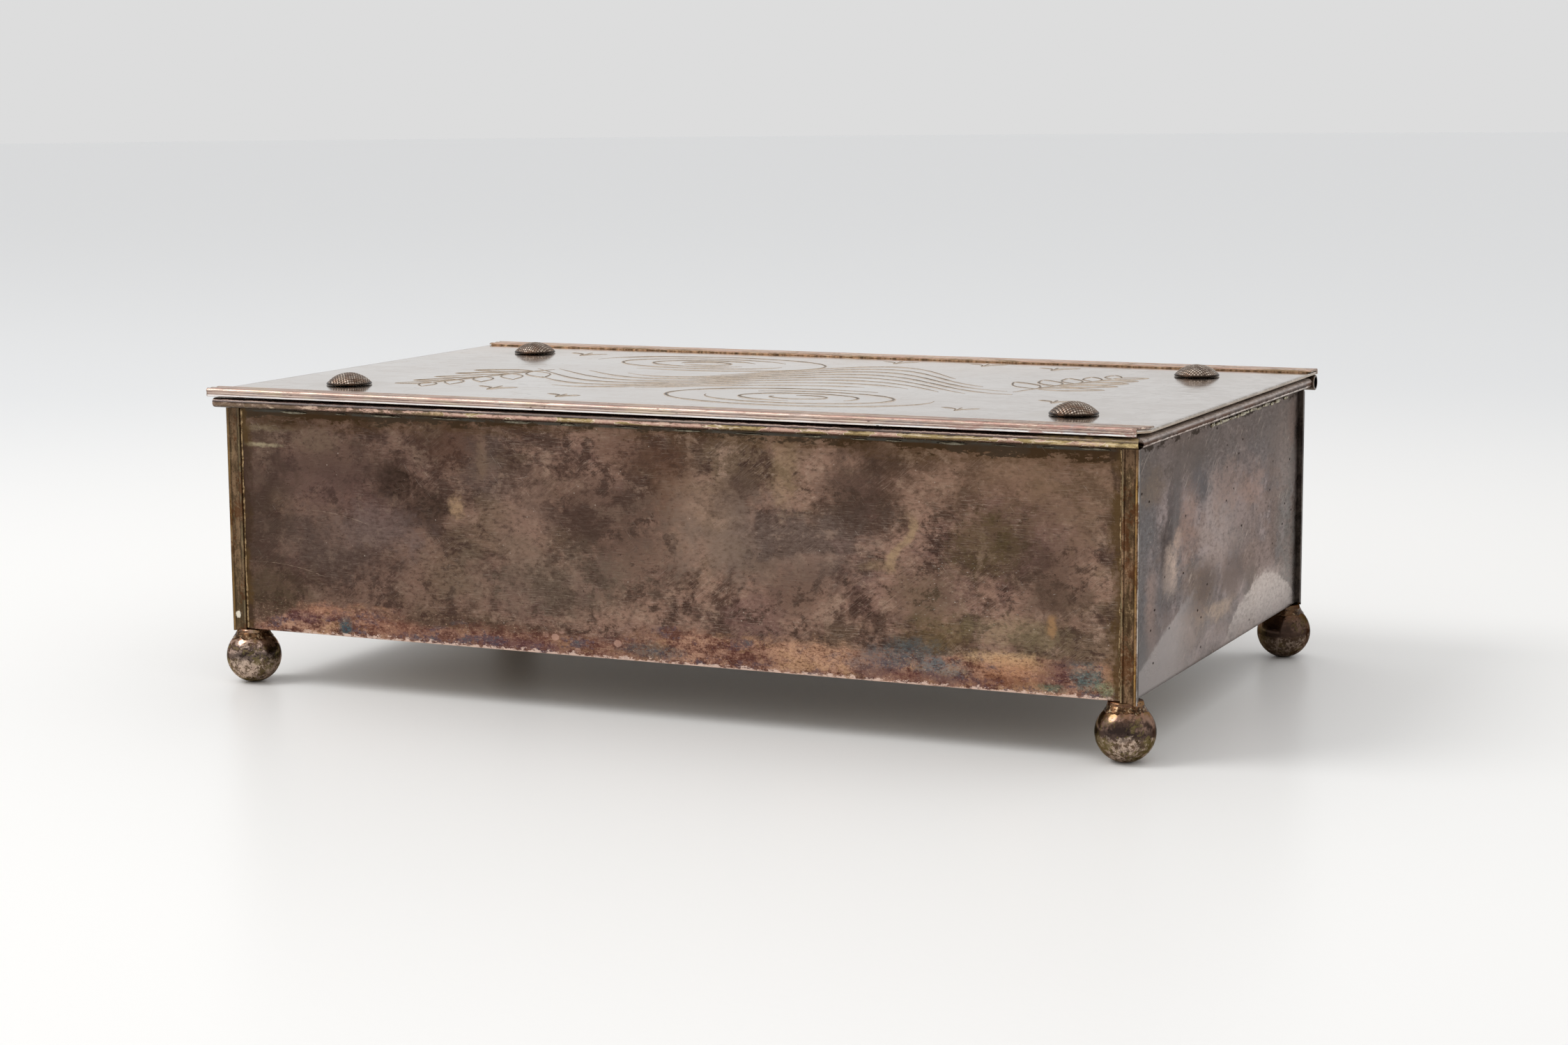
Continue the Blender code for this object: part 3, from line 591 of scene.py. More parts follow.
def reeds(name, warm):
    """Reeded strips: silver on the crests, copper and tarnish in the valleys."""
    m = Metal(name, light=0.74 if warm else 0.8)
    back = m.minus(m.y, LID_FRONT_Y)
    if warm:
        back = m.minus(LID_BACK_Y, m.y)
    long = m.noise((22, 3, 3), 5, 0.7, (4, 0, 0))
    patch = m.ragged((6, 1.4, 1), (1.3, 0.45, 0.4), (40, 0, 9))
    worn = m.fit(m.x, 40, 110)
    crest, cream, valley, deep = (216, 198, 182), (194, 172, 158), (162, 139, 128), (112, 92, 84)
    if warm:
        crest, cream, valley, deep = (238, 214, 194), (216, 184, 162), (188, 150, 128), (116, 90, 68)
    m.colour = m.blend(long, 0.4, 0.6, cream, valley)
    m.coat(patch, 0.5, 0.58, 0.7, deep)
    rose = m.fit(m.noise((12, 2, 2), 4, 0.7, (88, 0, 0)), 0.48, 0.58)
    m.over(m.times(rose, m.fit(m.x, 20, 100, 0.35, 0.8)), (172, 132, 121))
    blue = m.fit(m.noise((9, 2, 2), 4, 0.7, (31, 0, 7)), 0.53, 0.6)
    m.over(m.times(blue, m.fit(m.x, 30, 100, 0.3, 0.75)), (140, 146, 152))
    m.coat(m.noise((12, 2, 2), 4, 0.7, (131, 0, 7)), 0.55, 0.62, 0.5, (186, 178, 140))
    fleck = m.ragged((2.4, 0.5, 0.4), (0.6, 0.3, 0.3), (70, 0, 3))
    m.over(m.times(worn, m.fit(fleck, 0.5, 0.57, 0, 0.8)), (98, 74, 66))
    m.over(m.times(worn, m.fit(fleck, 0.46, 0.4, 0, 0.7)), (190, 184, 160))
    thread = m.noise((34, 0.3, 0.26), 5, 0.75, (9, 0, 2))
    m.coat(thread, 0.5, 0.6, 0.65, (124, 96, 86))
    m.coat(thread, 0.46, 0.38, 0.65, (232, 204, 182))
    broken = m.fit(m.plus(m.times(patch, 0.6), m.times(thread, 0.4)), 0.42, 0.56, 1, 0.35)
    wide = (
        (0.95, 2.15, (158, 134, 122), 0.75),
        (3.3, 4.85, (152, 130, 118), 0.8),
        (6.3, 7.2, (150, 128, 112), 0.7),
        (2.35, 3.05, crest, 0.8),
        (5.1, 5.95, crest, 0.5),
    )
    m.stripes(back, wide, broken, 0.16)
    m.stripes(back, ((1.25, 1.6, (84, 64, 54), 0.75), (4, 4.35, (96, 76, 66), 0.7)), None, 0.08)
    # front face of the lip: painted highlight lines with dark lines between them, and a painted shadow
    # along its lower edge
    face = m.minus(m.z, LID_TOP_Z)
    if warm:
        reeded = m.colour
        # the back strip's inner side above the lid: a painted highlight line on its reed, darker at its
        # foot
        inner = (
            (-0.1, 0.1, (104, 82, 60), 0.8),
            (0.16, 0.36, (246, 228, 204), 0.85),
            (0.44, 0.6, (196, 148, 122), 0.6),
        )
        m.stripes(face, inner, broken, 0.06)
        m.coat(m.ragged((9, 2, 2), (1.4, 0.5, 0.5), (60, 0, 2)), 0.52, 0.57, 0.75, (126, 104, 70))
        m.only(m.fit(back, 5.4, 5.9), reeded)
    face = m.swayed(face, patch, 0.3)
    reeded = m.colour
    # the light lines are painted highlights; the darkest band at the bottom is a painted shadow in the gap
    # below the lip
    lines_on_lip = (
        (0.44, 0.64, (140, 114, 104), 0.7),
        (-0.1, 0.38, (202, 182, 168), 0.6),
        (-0.34, -0.14, (92, 76, 74), 0.85),
        (-0.72, -0.42, (214, 196, 184), 0.8),
        (-0.92, -0.78, (96, 78, 74), 0.8),
        (-1.34, -0.98, (244, 234, 228), 0.95),
        (-2.2, -1.4, (40, 30, 26), 0.95),
    )
    m.stripes(face, lines_on_lip, m.fit(thread, 0.42, 0.56, 1, 0.5))
    m.over(m.times(m.fit(patch, 0.5, 0.58, 0, 0.8), worn), (164, 128, 118))
    m.only(m.fit(back, 1.15, 0.95), reeded)
    spot = m.fit(m.cells((3, 1, 1), (5, 0, 0)), 0.18, 0.09)
    spot = m.times(spot, m.fit(m.noise(14, 2, 0.5, (1, 5, 9)), 0.5, 0.6))
    m.over(spot, (58, 44, 34), 0.75)
    m.coat(m.math("ABSOLUTE", m.x), LID_X - 0.5, LID_X - 0.1, 0.7, (120, 100, 84))
    rough = m.fit(patch, 0.35, 0.65, 0.32, 0.44)
    height = m.plus(m.noise((9, 1.6, 1.6), 2, 0.5), m.times(spot, -0.5))
    return m.finish(rough, m.bump(height, 0.05, 0.5))


def rail(name, side):
    """Half-round rim: dark above, a worn bead of olive, pink and cream below, with painted highlights, a
    painted shadow under the lid, painted shading and a painted reflection of the floor.
    """
    m = Metal(name, light=0.84)
    patch = m.noise((13, 13, 3.5), 3, 0.6, (4, 0, 0), 0.2)
    small = m.ragged((2.6, 2.6, 1), (0.7, 0.7, 0.35), (40, 0, 9))
    level = m.minus(m.z, RIM_BOTTOM_Z)
    level = m.swayed(level, small, 0.7)
    if side:
        m.colour = m.blend(small, 0.4, 0.6, (132, 120, 114), (84, 72, 66))
        m.coat(patch, 0.5, 0.56, 0.7, (106, 82, 70))
        m.coat(patch, 0.46, 0.4, 0.5, (92, 90, 88))
        # a light band low on the half-round: a painted reflection of the floor
        painted_shine = m.fit(small, 0.4, 0.6, 1, 0.45)
        m.stripes(level, ((0.2, 0.85, (194, 186, 180), 0.85),), painted_shine, 0.1)
        m.stripes(level, ((0.95, 1.2, (64, 56, 52), 0.7),))
        # the crown painted lighter, standing in for light that the lid's overhang keeps off, and given no
        # metal
        crown = m.fit(level, 1.35, 1.9)
        m.over(crown, m.blend(small, 0.4, 0.6, (176, 162, 154), (128, 114, 106)))
        m.dull(crown)
    else:
        m.colour = m.blend(small, 0.42, 0.58, (88, 64, 55), (54, 37, 32))
        m.coat(patch, 0.48, 0.42, 0.5, (82, 68, 50))
        # a thin painted highlight line along the top, in stretches, and above it a painted shadow of the
        # gap under the lid
        stretch = m.fit(m.noise(34, 3, 0.6, (9, 0, 5)), 0.42, 0.54, 0.2, 0.95)
        thin = ((1.94, 2.12, (206, 180, 166), 0.9), (2.22, 3, (30, 20, 17), 0.9))
        m.stripes(level, thin[1:])
        m.stripes(level, thin[:1], stretch)
        # painted shading: each colour of the bead turns lighter towards its top
        shade = m.fit(level, 0.35, 1.05)
        olive = m.mix(shade, (108, 90, 62), (160, 140, 100))
        pink = m.mix(shade, (118, 90, 78), (188, 154, 140))
        brown = m.mix(shade, (78, 64, 54), (112, 94, 80))
        end = m.fit(m.x, 100, 106)
        m.over(m.times(end, m.fit(small, 0.56, 0.44, 0.3, 0.9)), (134, 114, 78))
        dark = m.colour
        m.colour = m.blend(patch, 0.492, 0.502, pink, olive)
        m.over(m.fit(m.x, -48, -72), m.blend(small, 0.44, 0.54, pink, brown))
        m.coat(m.x, -88, -104, 0.85, brown)
        m.coat(small, 0.5, 0.6, 0.6, (96, 78, 58))
        m.coat(small, 0.46, 0.38, 0.5, (206, 186, 162))
        m.over(m.times(end, m.fit(small, 0.5, 0.42, 0.1, 0.8)), (196, 174, 130))
        # cream tide lines where the patches meet, and a painted highlight line that wanders along the bead
        cream = m.band(patch, 0.49, 0.502, 0.004)
        drift = m.noise(11, 3, 0.6, (3, 0, 60))
        painted_highlight_line = m.minus(level, m.math("MULTIPLY_ADD", drift, 1.6, 0.2))
        painted_highlight_line = m.times(m.band(painted_highlight_line, -0.06, 0.06, 0.08), m.fit(drift, 0.5, 0.56))
        cream = m.math("MAXIMUM", cream, painted_highlight_line)
        m.over(m.times(cream, m.fit(m.x, -72, -40, 0.12, 0.75)), (228, 212, 192))
        m.only(m.fit(level, 1.62, 1.4), dark)
        m.stripes(level, ((1.5, 1.66, (44, 31, 26), 0.6),))
        m.dull(m.fit(level, 1.4, 1.75))
    m.coat(level, 0.5, 0.15, 0.85, (52, 42, 32))
    rough = m.fit(small, 0.35, 0.65, 0.2, 0.34)
    return m.finish(rough, m.bump(m.noise((6, 6, 1.6), 3, 0.6), 0.06, 0.5), edge=side)


def corner():
    m = Metal("corner_strip_patina", light=0.78)
    patch = m.noise((3, 3, 14), 5, 0.66, (4, 0, 0), 0.3)
    small = m.ragged((1.2, 1.2, 3.6), 0.6, (40, 0, 9))
    m.colour = m.blend(patch, 0.44, 0.56, (78, 62, 44), (120, 94, 72))
    m.coat(small, 0.5, 0.57, 0.75, (58, 42, 30))
    m.coat(small, 0.46, 0.39, 0.5, (150, 124, 94))
    m.coat(m.x, 0, -100, 0.35, (78, 68, 50))
    side = m.math("ABSOLUTE", m.x)
    side = m.swayed(side, small, 0.35)
    lit = m.times(m.fit(patch, 0.4, 0.58, 0.9, 0.25), m.fit(m.x, -100, 0, 0.45, 1))
    m.stripes(side, ((120.95, 121.3, (160, 146, 112), 0.6), (124.2, 124.7, (170, 132, 78), 0.8)), lit, 0.12)
    m.stripes(side, ((121.55, 121.8, (44, 34, 24), 0.6), (123.9, 124.1, (44, 33, 22), 0.7)), None, 0.1)
    # the outer edge of each strip: a painted highlight along the corner, darker on the back strips
    outer = m.fit(m.math("ABSOLUTE", m.x), STRIP_OUTER_X - 0.16, STRIP_OUTER_X - 0.05)
    m.over(m.times(outer, m.fit(small, 0.4, 0.6, 0.85, 0.4)), (176, 170, 166))
    m.over(m.times(outer, m.fit(m.y, 20, 40)), (48, 42, 40), 0.9)
    m.coat(m.ragged((5, 5, 8), 1, (3, 1, 60)), 0.52, 0.58, 0.7, (76, 46, 26))
    m.coat(m.z, 66, 73, 0.6, (62, 48, 36))
    # a pale dab of solder low on the front left strip
    dab = m.times(m.spot((-123.3, 18.4), (0.9, 0.8), small, edge=0.3), m.fit(m.y, 0, -1))
    m.over(dab, (206, 198, 182))
    rough = m.fit(small, 0.35, 0.65, 0.22, 0.38)
    return m.finish(rough, m.bump(m.noise((1.8, 1.8, 7), 3, 0.6), 0.05, 0.5))


def ball():
    m = Metal("ball_foot_patina", light=1)
    patch = m.ragged((7, 7, 4), 1.6, (4, 0, 0))
    small = m.noise(1.3, 6, 0.8, (40, 0, 9), 0.3)
    m.colour = m.blend(patch, 0.45, 0.55, (78, 62, 54), (138, 112, 98))
    m.coat(small, 0.5, 0.6, 0.7, (54, 42, 36))
    m.coat(m.noise(8, 2, 0.5, (9, 3, 2)), 0.5, 0.62, 0.6, (164, 134, 118))
    # the left balls mottled lighter, in pink, dark grey and olive
    silver = m.ragged((3.4, 3.4, 2.6), 0.9, (17, 3, 5))
    tone = m.blend(silver, 0.47, 0.53, (206, 180, 164), (74, 60, 56))
    tone = m.blend(silver, 0.56, 0.59, tone, (128, 114, 78))
    m.coat(m.x, 0, -60, 0.7, tone)
    # dark waist, a painted reflection of dark surroundings, and a lower half pitted to cream and olive
    m.over(m.band(m.swayed(m.z, patch, 7), 6.4, 8.8, 0.6), (52, 43, 41), 0.75)
    lower = m.fit(m.swayed(m.z, patch, 12), 7.2, 5.8)
    pits = m.ragged(1.7, 0.6, (7, 7, 7))
    cream = m.blend(pits, 0.47, 0.53, (202, 180, 162), (96, 80, 62))
    m.over(m.times(lower, m.fit(small, 0.6, 0.44, 0.25, 0.9)), cream)
    m.coat(m.ragged(5, 1, (71, 3, 1)), 0.52, 0.56, 0.6, (116, 104, 64))
    copper = m.fit(m.z, 10, 12.4)
    m.over(m.times(copper, m.fit(small, 0.35, 0.6, 0.7, 0.25)), (140, 98, 68))
    m.coat(m.y, 20, 50, 0.6, (58, 43, 34))
    pit = m.fit(m.cells(1.7, (5.6, 2.1, 3)), 0.15, 0.07)
    m.over(pit, (34, 26, 20), 0.8)
    rough = m.plus(m.fit(pits, 0.4, 0.6, 0.14, 0.22), m.times(lower, 0.12))
    height = m.times(pits, m.fit(lower, 0, 1, 0.25, 1))
    height = m.minus(height, m.times(pit, 0.8))
    return m.finish(rough, m.bump(height, 0.1, 0.5), edge=True)


def collar():
    m = Metal("collar_solder", light=0.95)
    small = m.ragged(1.5, 0.5, (1, 2, 3))
    m.colour = m.blend(small, 0.44, 0.56, (108, 78, 54), (56, 40, 28))
    m.coat(m.ragged(1, 0.4, (8, 8, 8)), 0.54, 0.58, 0.7, (190, 164, 130))
    m.coat(m.y, 20, 50, 0.55, (52, 40, 32))
    return m.finish(m.fit(small, 0.35, 0.65, 0.3, 0.46), m.bump(small, 0.08, 0.6))


def stud():
    """Dark in the lattice's grooves as painted shade, with painted highlights on the beads and a painted
    shadow round the foot.
    """
    m = Metal("stud_patina_and_painted_light", light=0.9)
    small = m.ragged(2.2, 0.6, (1, 2, 3))
    bead = m.attribute("bead")
    grooves = m.blend(small, 0.42, 0.58, (34, 27, 23), (58, 46, 38))
    body = m.blend(small, 0.42, 0.58, (112, 94, 82), (138, 122, 108))
    m.colour = m.blend(bead, 0.15, 0.55, grooves, body)
    # painted highlights on the bead tops
    painted_shine = m.times(m.fit(bead, 0.62, 0.92), m.fit(m.noise(1.5, 4, 0.7, (6, 1, 3)), 0.44, 0.56, 0.15, 1))
    m.over(painted_shine, (224, 212, 200))
    m.coat(m.noise(3, 3, 0.6, (3, 3, 3)), 0.52, 0.62, 0.5, (96, 68, 50))
    # painted shadow round the stud's foot
    m.coat(m.z, LID_TOP_Z + 0.75, LID_TOP_Z + 0.35, 0.7, (40, 32, 26))
    return m.finish(m.fit(small, 0.35, 0.65, 0.18, 0.3), m.bump(m.noise(0.35, 2, 0.6), 0.01, 0.5))


def hinge():
    m = Metal("hinge_patina", light=1.05)
    small = m.ragged((6, 1.2, 1.2), 0.8, (1, 2, 3))
    m.colour = m.blend(small, 0.42, 0.58, (88, 76, 66), (128, 112, 98))
    m.coat(m.noise(2, 3, 0.6, (3, 3, 3)), 0.54, 0.66, 0.7, (58, 46, 36))
    # painted shade: dark about the bore at the tube's ends
    out = m.minus(m.y, HINGE_Y)
    up = m.minus(m.z, HINGE_Z)
    reach = m.math("SQRT", m.plus(m.times(out, out), m.times(up, up)))
    m.over(m.fit(reach, HINGE_BORE + 0.12, HINGE_BORE), (22, 18, 15))
    return m.finish(m.fit(small, 0.35, 0.65, 0.28, 0.42), m.bump(small, 0.04, 0.5))


def solder(name, light_tone, dark_tone):
    m = Metal(name, light=0.9)
    small = m.ragged(1.4, 0.45, (1, 2, 3))
    m.colour = m.blend(small, 0.43, 0.57, light_tone, dark_tone)
    m.coat(m.ragged(3, 0.8, (3, 3, 3)), 0.53, 0.59, 0.8, (80, 64, 44))
    if name == "solder_lumps":
        m.coat(m.y, -70, -71, 0.7, (92, 88, 80))
    return m.finish(m.fit(small, 0.35, 0.65, 0.3, 0.46), m.bump(small, 0.05, 0.6))


def chased():
    """Chased lines: stained burrs and a dark furrow."""
    m = Metal("chased_line", light=0.76)
    small = m.ragged(3, 0.8, (1, 2, 3))
    furrow = m.attribute("furrow")
    tone = m.blend(small, 0.42, 0.58, (94, 78, 64), (58, 49, 43))
    burr = m.blend(small, 0.44, 0.56, (184, 162, 136), (142, 122, 98))
    m.colour = m.blend(furrow, 0, 0.3, (198, 188, 178), burr)
    m.over(m.fit(furrow, 0.45, 0.85), tone)
    return m.finish(m.fit(small, 0.35, 0.65, 0.32, 0.46), m.bump(small, 0.02, 0.5))


MATERIALS = {
    "front_plate": front_plate(),
    "side_plate": side_plate(),
    "lid_plate": lid_plate(),
    "reeds_front": reeds("reeds_front", False),
    "reeds_back": reeds("reeds_back", True),
    "rail_front": rail("rail_front_patina_and_painted_light", False),
    "rail_side": rail("rail_side_patina_and_painted_light", True),
    "corner": corner(),
    "ball": ball(),
    "stud": stud(),
    "hinge": hinge(),
    "solder": solder("solder_lumps", (176, 168, 142), (118, 106, 84)),
    "corner_solder": solder("corner_solder", (168, 142, 106), (96, 74, 50)),
    "strip_solder": solder("strip_solder", (168, 136, 106), (112, 86, 62)),
    "chased": chased(),
    "collar": collar(),
}
# The first start that fits a node's name gives its material
BY_NODE = {
    "front_wall": "front_plate",
    "back_wall": "front_plate",
    "left_wall": "side_plate",
    "right_wall": "side_plate",
    "bottom_plate": "side_plate",
    "corner_strip": "corner",
    "rim_rail_front": "rail_front",
    "rim_rail_": "rail_side",
    "ball_foot": "ball",
    "lid_plate": "lid_plate",
    "reed_strip_front": "reeds_front",
    "reed_strip_back": "reeds_back",
    "lid_stud": "stud",
    "hinge": "hinge",
}
for name, node in NODES.items():
    key = next(BY_NODE[start] for start in BY_NODE if name.startswith(start))
    node.data.materials.clear()
    node.data.materials.append(MATERIALS[key])


# Extra pieces


def placed(name, data):
    """A new object in the scene."""
    made = bpy.data.objects.new(name, data)
    bpy.context.scene.collection.objects.link(made)
    return made


def solid(name, shape, material):
    """A new mesh object of this shape."""
    mesh = bpy.data.meshes.new(name)
    shape.to_mesh(mesh)
    shape.free()
    mesh.materials.append(material)
    return placed(name, mesh)


def add_piece(name, shape, material, body):
    """A smooth piece in the part's frame, riding on a body."""
    piece = solid(name, shape, MATERIALS[material])
    piece.data.shade_smooth()
    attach(piece, body)
    return piece


def skin(shape, rows, around=True):
    """Faces between neighbouring rows of vertices, whose ends meet if around; one vertex makes a fan."""
    for a, b in zip(rows, rows[1:]):
        count = max(len(a), len(b))
        for i in range(count if around else count - 1):
            j = (i + 1) % count
            corners = (a[i % len(a)], a[j % len(a)], b[j % len(b)], b[i % len(b)])
            shape.faces.new(list(dict.fromkeys(corners)))


def facing_out(shape):
    bmesh.ops.recalc_face_normals(shape, faces=shape.faces)
    return shape


# Studs with their lattice of beads, each in place of its plain solid
STUD_RADIUS = 6
STUD_HEIGHT = 3
STUD_RIM = 0.25
BEAD_PITCH = 0.46
BEAD_DEPTH = 0.17


def beaded_stud(centre, seed):
    """A low dome whose surface is a diamond lattice of small beads."""
    draw = random.Random(seed)
    turn = draw.uniform(0, tau)
    shape = bmesh.new()
    layer = shape.verts.layers.float.new("bead")
    rings, steps = 58, 280
    crown = STUD_HEIGHT - STUD_RIM
    ball_radius = (STUD_RADIUS**2 + crown**2) / (2 * crown)
    rows = []
    for ring in range(rings + 1):
        radius = STUD_RADIUS * ring / rings
        level = STUD_RIM + sqrt(ball_radius**2 - radius**2) - (ball_radius - crown)
        row = []
        for step in range(steps if ring else 1):
            angle = tau * step / steps
            x, y = radius * cos(angle), radius * sin(angle)
            u = (x * cos(turn) + y * sin(turn)) / BEAD_PITCH
            v = (y * cos(turn) - x * sin(turn)) / BEAD_PITCH
            lattice = abs(sin(pi * (u + v) / 2) * sin(pi * (u - v) / 2)) ** 0.6
            worn = field.noise(Vector((x, y, seed)) / 1.8)
            fade = min(1, (STUD_RADIUS - radius) / 0.35)
            depth = fade * max(0, BEAD_DEPTH * (1 - lattice) * (1 + 0.4 * worn) + 0.06 * worn)
            outward = Vector((x, y, level + ball_radius - crown - STUD_RIM)).normalized()
            vertex = shape.verts.new(centre + (Vector((x, y, level)) - outward * depth) * MM)
            vertex[layer] = lattice * fade * (1 - 0.5 * max(worn, 0))
            row.append(vertex)
        rows.append(row)
    rows.append([shape.verts.new((v.co.x, v.co.y, centre.z)) for v in rows[-1]])
    skin(shape, rows)
    shape.faces.new(list(reversed(rows[-1])))
    return facing_out(shape)


for index, corner_name in enumerate(CORNERS):
    node = f"lid_stud_{corner_name}"
    centre = middle_of(node)
    centre.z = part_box(node)[LOW].z
    piece = add_piece(f"beaded_stud_{corner_name}", beaded_stud(centre, index + 3), "stud", "lid")
    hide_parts(node)


# Chased lines of the lid: burrs either side of a dark furrow
# Across a line: place from -0.5 to 0.5 of its width, height share, furrow share
CHASED_SECTION = (
    (-0.5, 0, 0),
    (-0.32, 1, 0.3),
    (-0.16, 0.25, 0.9),
    (0.14, 0.2, 1),
    (0.3, 0.75, 0.3),
    (0.5, 0, 0),
)
CHASED_HEIGHT = 0.16


def resampled(points, step):
    """Points about step apart along a smooth line through the given points, in mm."""
    fine = []
    last = len(points) - 1
    for i in range(last):
        p = [Vector(points[max(0, min(last, i + k))]) for k in (-1, 0, 1, 2)]
        count = max(2, int((p[2] - p[1]).length / step))
        for n in range(count):
            t = n / count
            a = 2 * p[1]
            b = (p[2] - p[0]) * t
            c = (2 * p[0] - 5 * p[1] + 4 * p[2] - p[3]) * t * t
            d = (3 * p[1] - p[0] - 3 * p[2] + p[3]) * t**3
            fine.append((a + b + c + d) / 2)
    fine.append(Vector(points[-1]))
    return fine


def chase(shape, layer, points, width):
    """One chased line along points (mm on the lid), tapering at its ends."""
    line = resampled(points, 1.3)
    total = len(line) - 1
    rows = []
    for i, here in enumerate(line):
        along = (line[min(i + 1, total)] - line[max(i - 1, 0)]).normalized()
        across = Vector((-along.y, along.x))
        t = i / total
        swell = 0.9 + 0.4 * field.noise(Vector((here.x, here.y, 3)) / 9)
        taper = min(1, 6 * t + 0.2, 6 * (1 - t) + 0.2)
        row = []
        for u, rise, depth in CHASED_SECTION:
            flat = here + across * u * width * swell * taper
            lift = rise * CHASED_HEIGHT * swell * min(1, taper + 0.2)
            vertex = shape.verts.new(Vector((flat.x, flat.y, LID_TOP_Z + lift - 0.01)) * MM)
            vertex[layer] = depth
            row.append(vertex)
        rows.append(row)
    skin(shape, rows, around=False)


def wave(x):
    return 17 * sin(tau * (x + 10) / 112)


def engraving():
    """A generic running wave with rings of ripples, leaf sprays and grass tufts."""
    shape = bmesh.new()
    layer = shape.verts.layers.float.new("furrow")
    draw = random.Random(11)
    # the wave: eight lines side by side, now wider, now closer
    for shift, x0, x1, width in (
        (-25, -26, 30, 1.2),
        (-17.5, -50, 42, 1.4),
        (-10, -64, 52, 1.6),
        (-2.5, -76, 60, 1.8),
        (5, -70, 72, 1.8),
        (12.5, -60, 68, 1.6),
        (20, -46, 58, 1.4),
        (27, -20, 44, 1.2),
    ):
        points = []
        for i in range(37):
            x = x0 + (x1 - x0) * i / 36
            points.append((x, wave(x) + shift * (0.86 + 0.2 * sin(tau * (x + 4) / 70))))
        chase(shape, layer, points, width)
    # ripples in the bends: broken rings
    for cx, cy in ((24, -37), (-38, 36)):
        for r in (4, 8.4, 13.4, 19):
            start = draw.uniform(0, tau)
            sweep = tau * draw.uniform(0.78, 0.9)
            arc = [start + sweep * i / 24 for i in range(25)]
            chase(shape, layer, [(cx + r * 1.9 * cos(t), cy + r * sin(t)) for t in arc], 1.4)
    # leaf sprays at both ends
    for side in (-1, 1):
        stem = [(side * (70 + 2.6 * t), side * (-6 + 8.4 * t) + 1.6 * sin(t)) for t in range(6)]
        chase(shape, layer, stem, 1.4)
        for i, base in enumerate(stem[1:]):
            length, belly = 18 - 2 * i, 3.2 - 0.25 * i
            for flank in (-1, 1):
                lean = atan2(8.4 * side, 3.4 * side) + flank * (1.05 - 0.1 * i)
                ax = Vector((cos(lean), sin(lean)))
                nx = Vector((-ax.y, ax.x))
                for edge in (-1, 1):
                    rim = [
                        Vector(base) + ax * length * t + nx * edge * belly * sin(pi * t**0.8)
                        for t in (0, 0.15, 0.35, 0.55, 0.75, 0.9, 1)
                    ]
                    chase(shape, layer, rim, 1)
    # grass tufts along the front and the back
    for x, y in ((-60, -48), (-34, -58), (72, -52), (88, -28), (12, 54), (38, 55), (60, 51), (-84, 46)):
        for lean in (-0.75, -0.1, 0.6):
            reach = draw.uniform(7, 10)
            tip = (x + reach * sin(lean), y + reach * cos(lean))
            bend = (x + 0.45 * reach * sin(lean / 2), y + 0.5 * reach * cos(lean / 2))
            chase(shape, layer, [(x, y), bend, tip], 1.2)
    facing_out(shape)
    for face in shape.faces:
        if face.normal.z < 0:
            face.normal_flip()
    return shape


add_piece("chased_lines", engraving(), "chased", "lid")


# Solder: lumps under the rim, runs along the corner strips and the back strip, skirts on the feet
SIDE_LUMPS_Z = 72.35
FRONT_LUMPS_Z = 72.95
CORNER_RUN_Z = (15, 73.2)
# Across a run at a corner: place from its inner to its outer edge, height share
CORNER_SECTION = ((0, 0), (0.22, 0.75), (0.5, 1), (0.8, 0.9), (1, 0.35))
BACK_RUN_X = 127


def rag_of(place, octaves):
    """Fractal noise, about -1 to 1."""
    return field.fractal(Vector(place), 1, 2, octaves)


def lump(shape, place, radii, seed):
    """A small ragged blob with its own radii in mm, merged into shape."""
    made = bmesh.ops.create_icosphere(shape, subdivisions=3, radius=1)
    for vertex in made["verts"]:
        n = vertex.co.normalized()
        swell = 1 + 0.35 * rag_of(n * 1.7 + Vector((seed, seed * 0.7, 0)), 4)
        vertex.co = (Vector(place) + Vector([n[i] * radii[i] * swell for i in range(3)])) * MM


def solder_under_rims():
    """Lumps in a row under the side rails and, further apart, under the front one."""
    draw = random.Random(5)
    shape = bmesh.new()
    for side, y, last in ((-1, -30, 60), (1, -12, 60)):
        while y < last:
            reach = draw.uniform(1, 3.6)
            x = side * (SIDE_WALL_X + 0.1)
            level = SIDE_LUMPS_Z + draw.uniform(-0.15, 0.25)
            lump(shape, (x, y + reach, level), (0.24, reach, draw.uniform(0.3, 0.62)), draw.uniform(0, 50))
            y += 2 * reach + draw.uniform(-1.4, 0.6 if y < 26 else 5)
    x, last = -108, 116
    while x < last:
        reach = draw.uniform(1.5, 5)
        place = (x + reach, FRONT_WALL_Y - 0.1, FRONT_LUMPS_Z + draw.uniform(-0.15, 0.15))
        lump(shape, place, (reach, 0.22, draw.uniform(0.15, 0.4)), draw.uniform(0, 50))
        x += 2 * reach + draw.uniform(2, 14)
    return shape


def solder_at_corners():
    """Thin ragged runs of solder between the long walls and their corner strips."""
    shape = bmesh.new()
    low, high = CORNER_RUN_Z
    steps = 230
    for face_y, out in ((FRONT_WALL_Y, -1), (BACK_WALL_Y, 1)):
        for side in (-1, 1):
            seed = 3.7 * side + 11 * out
            rows = []
            for step in range(steps + 1):
                z = low + (high - low) * step / steps
                rag = rag_of((seed, 0, z / 2.2), 4)
                slow = field.noise(Vector((seed, 5, z / 9)))
                wide = max(0.1, 0.42 + 0.3 * rag + 0.25 * slow)
                tall = max(0.05, 0.26 + 0.14 * rag)
                row = []
                for u, h in CORNER_SECTION:
                    x = side * (STRIP_INNER_X - wide + u * (wide + 0.12))
                    y = face_y + out * (tall * h - 0.02)
                    row.append(shape.verts.new((x * MM, y * MM, z * MM)))
                rows.append(row)
            skin(shape, rows, around=False)
    facing_out(shape)
    for face in shape.faces:
        if face.normal.y * face.calc_center_median().y < 0:
            face.normal_flip()
    return shape


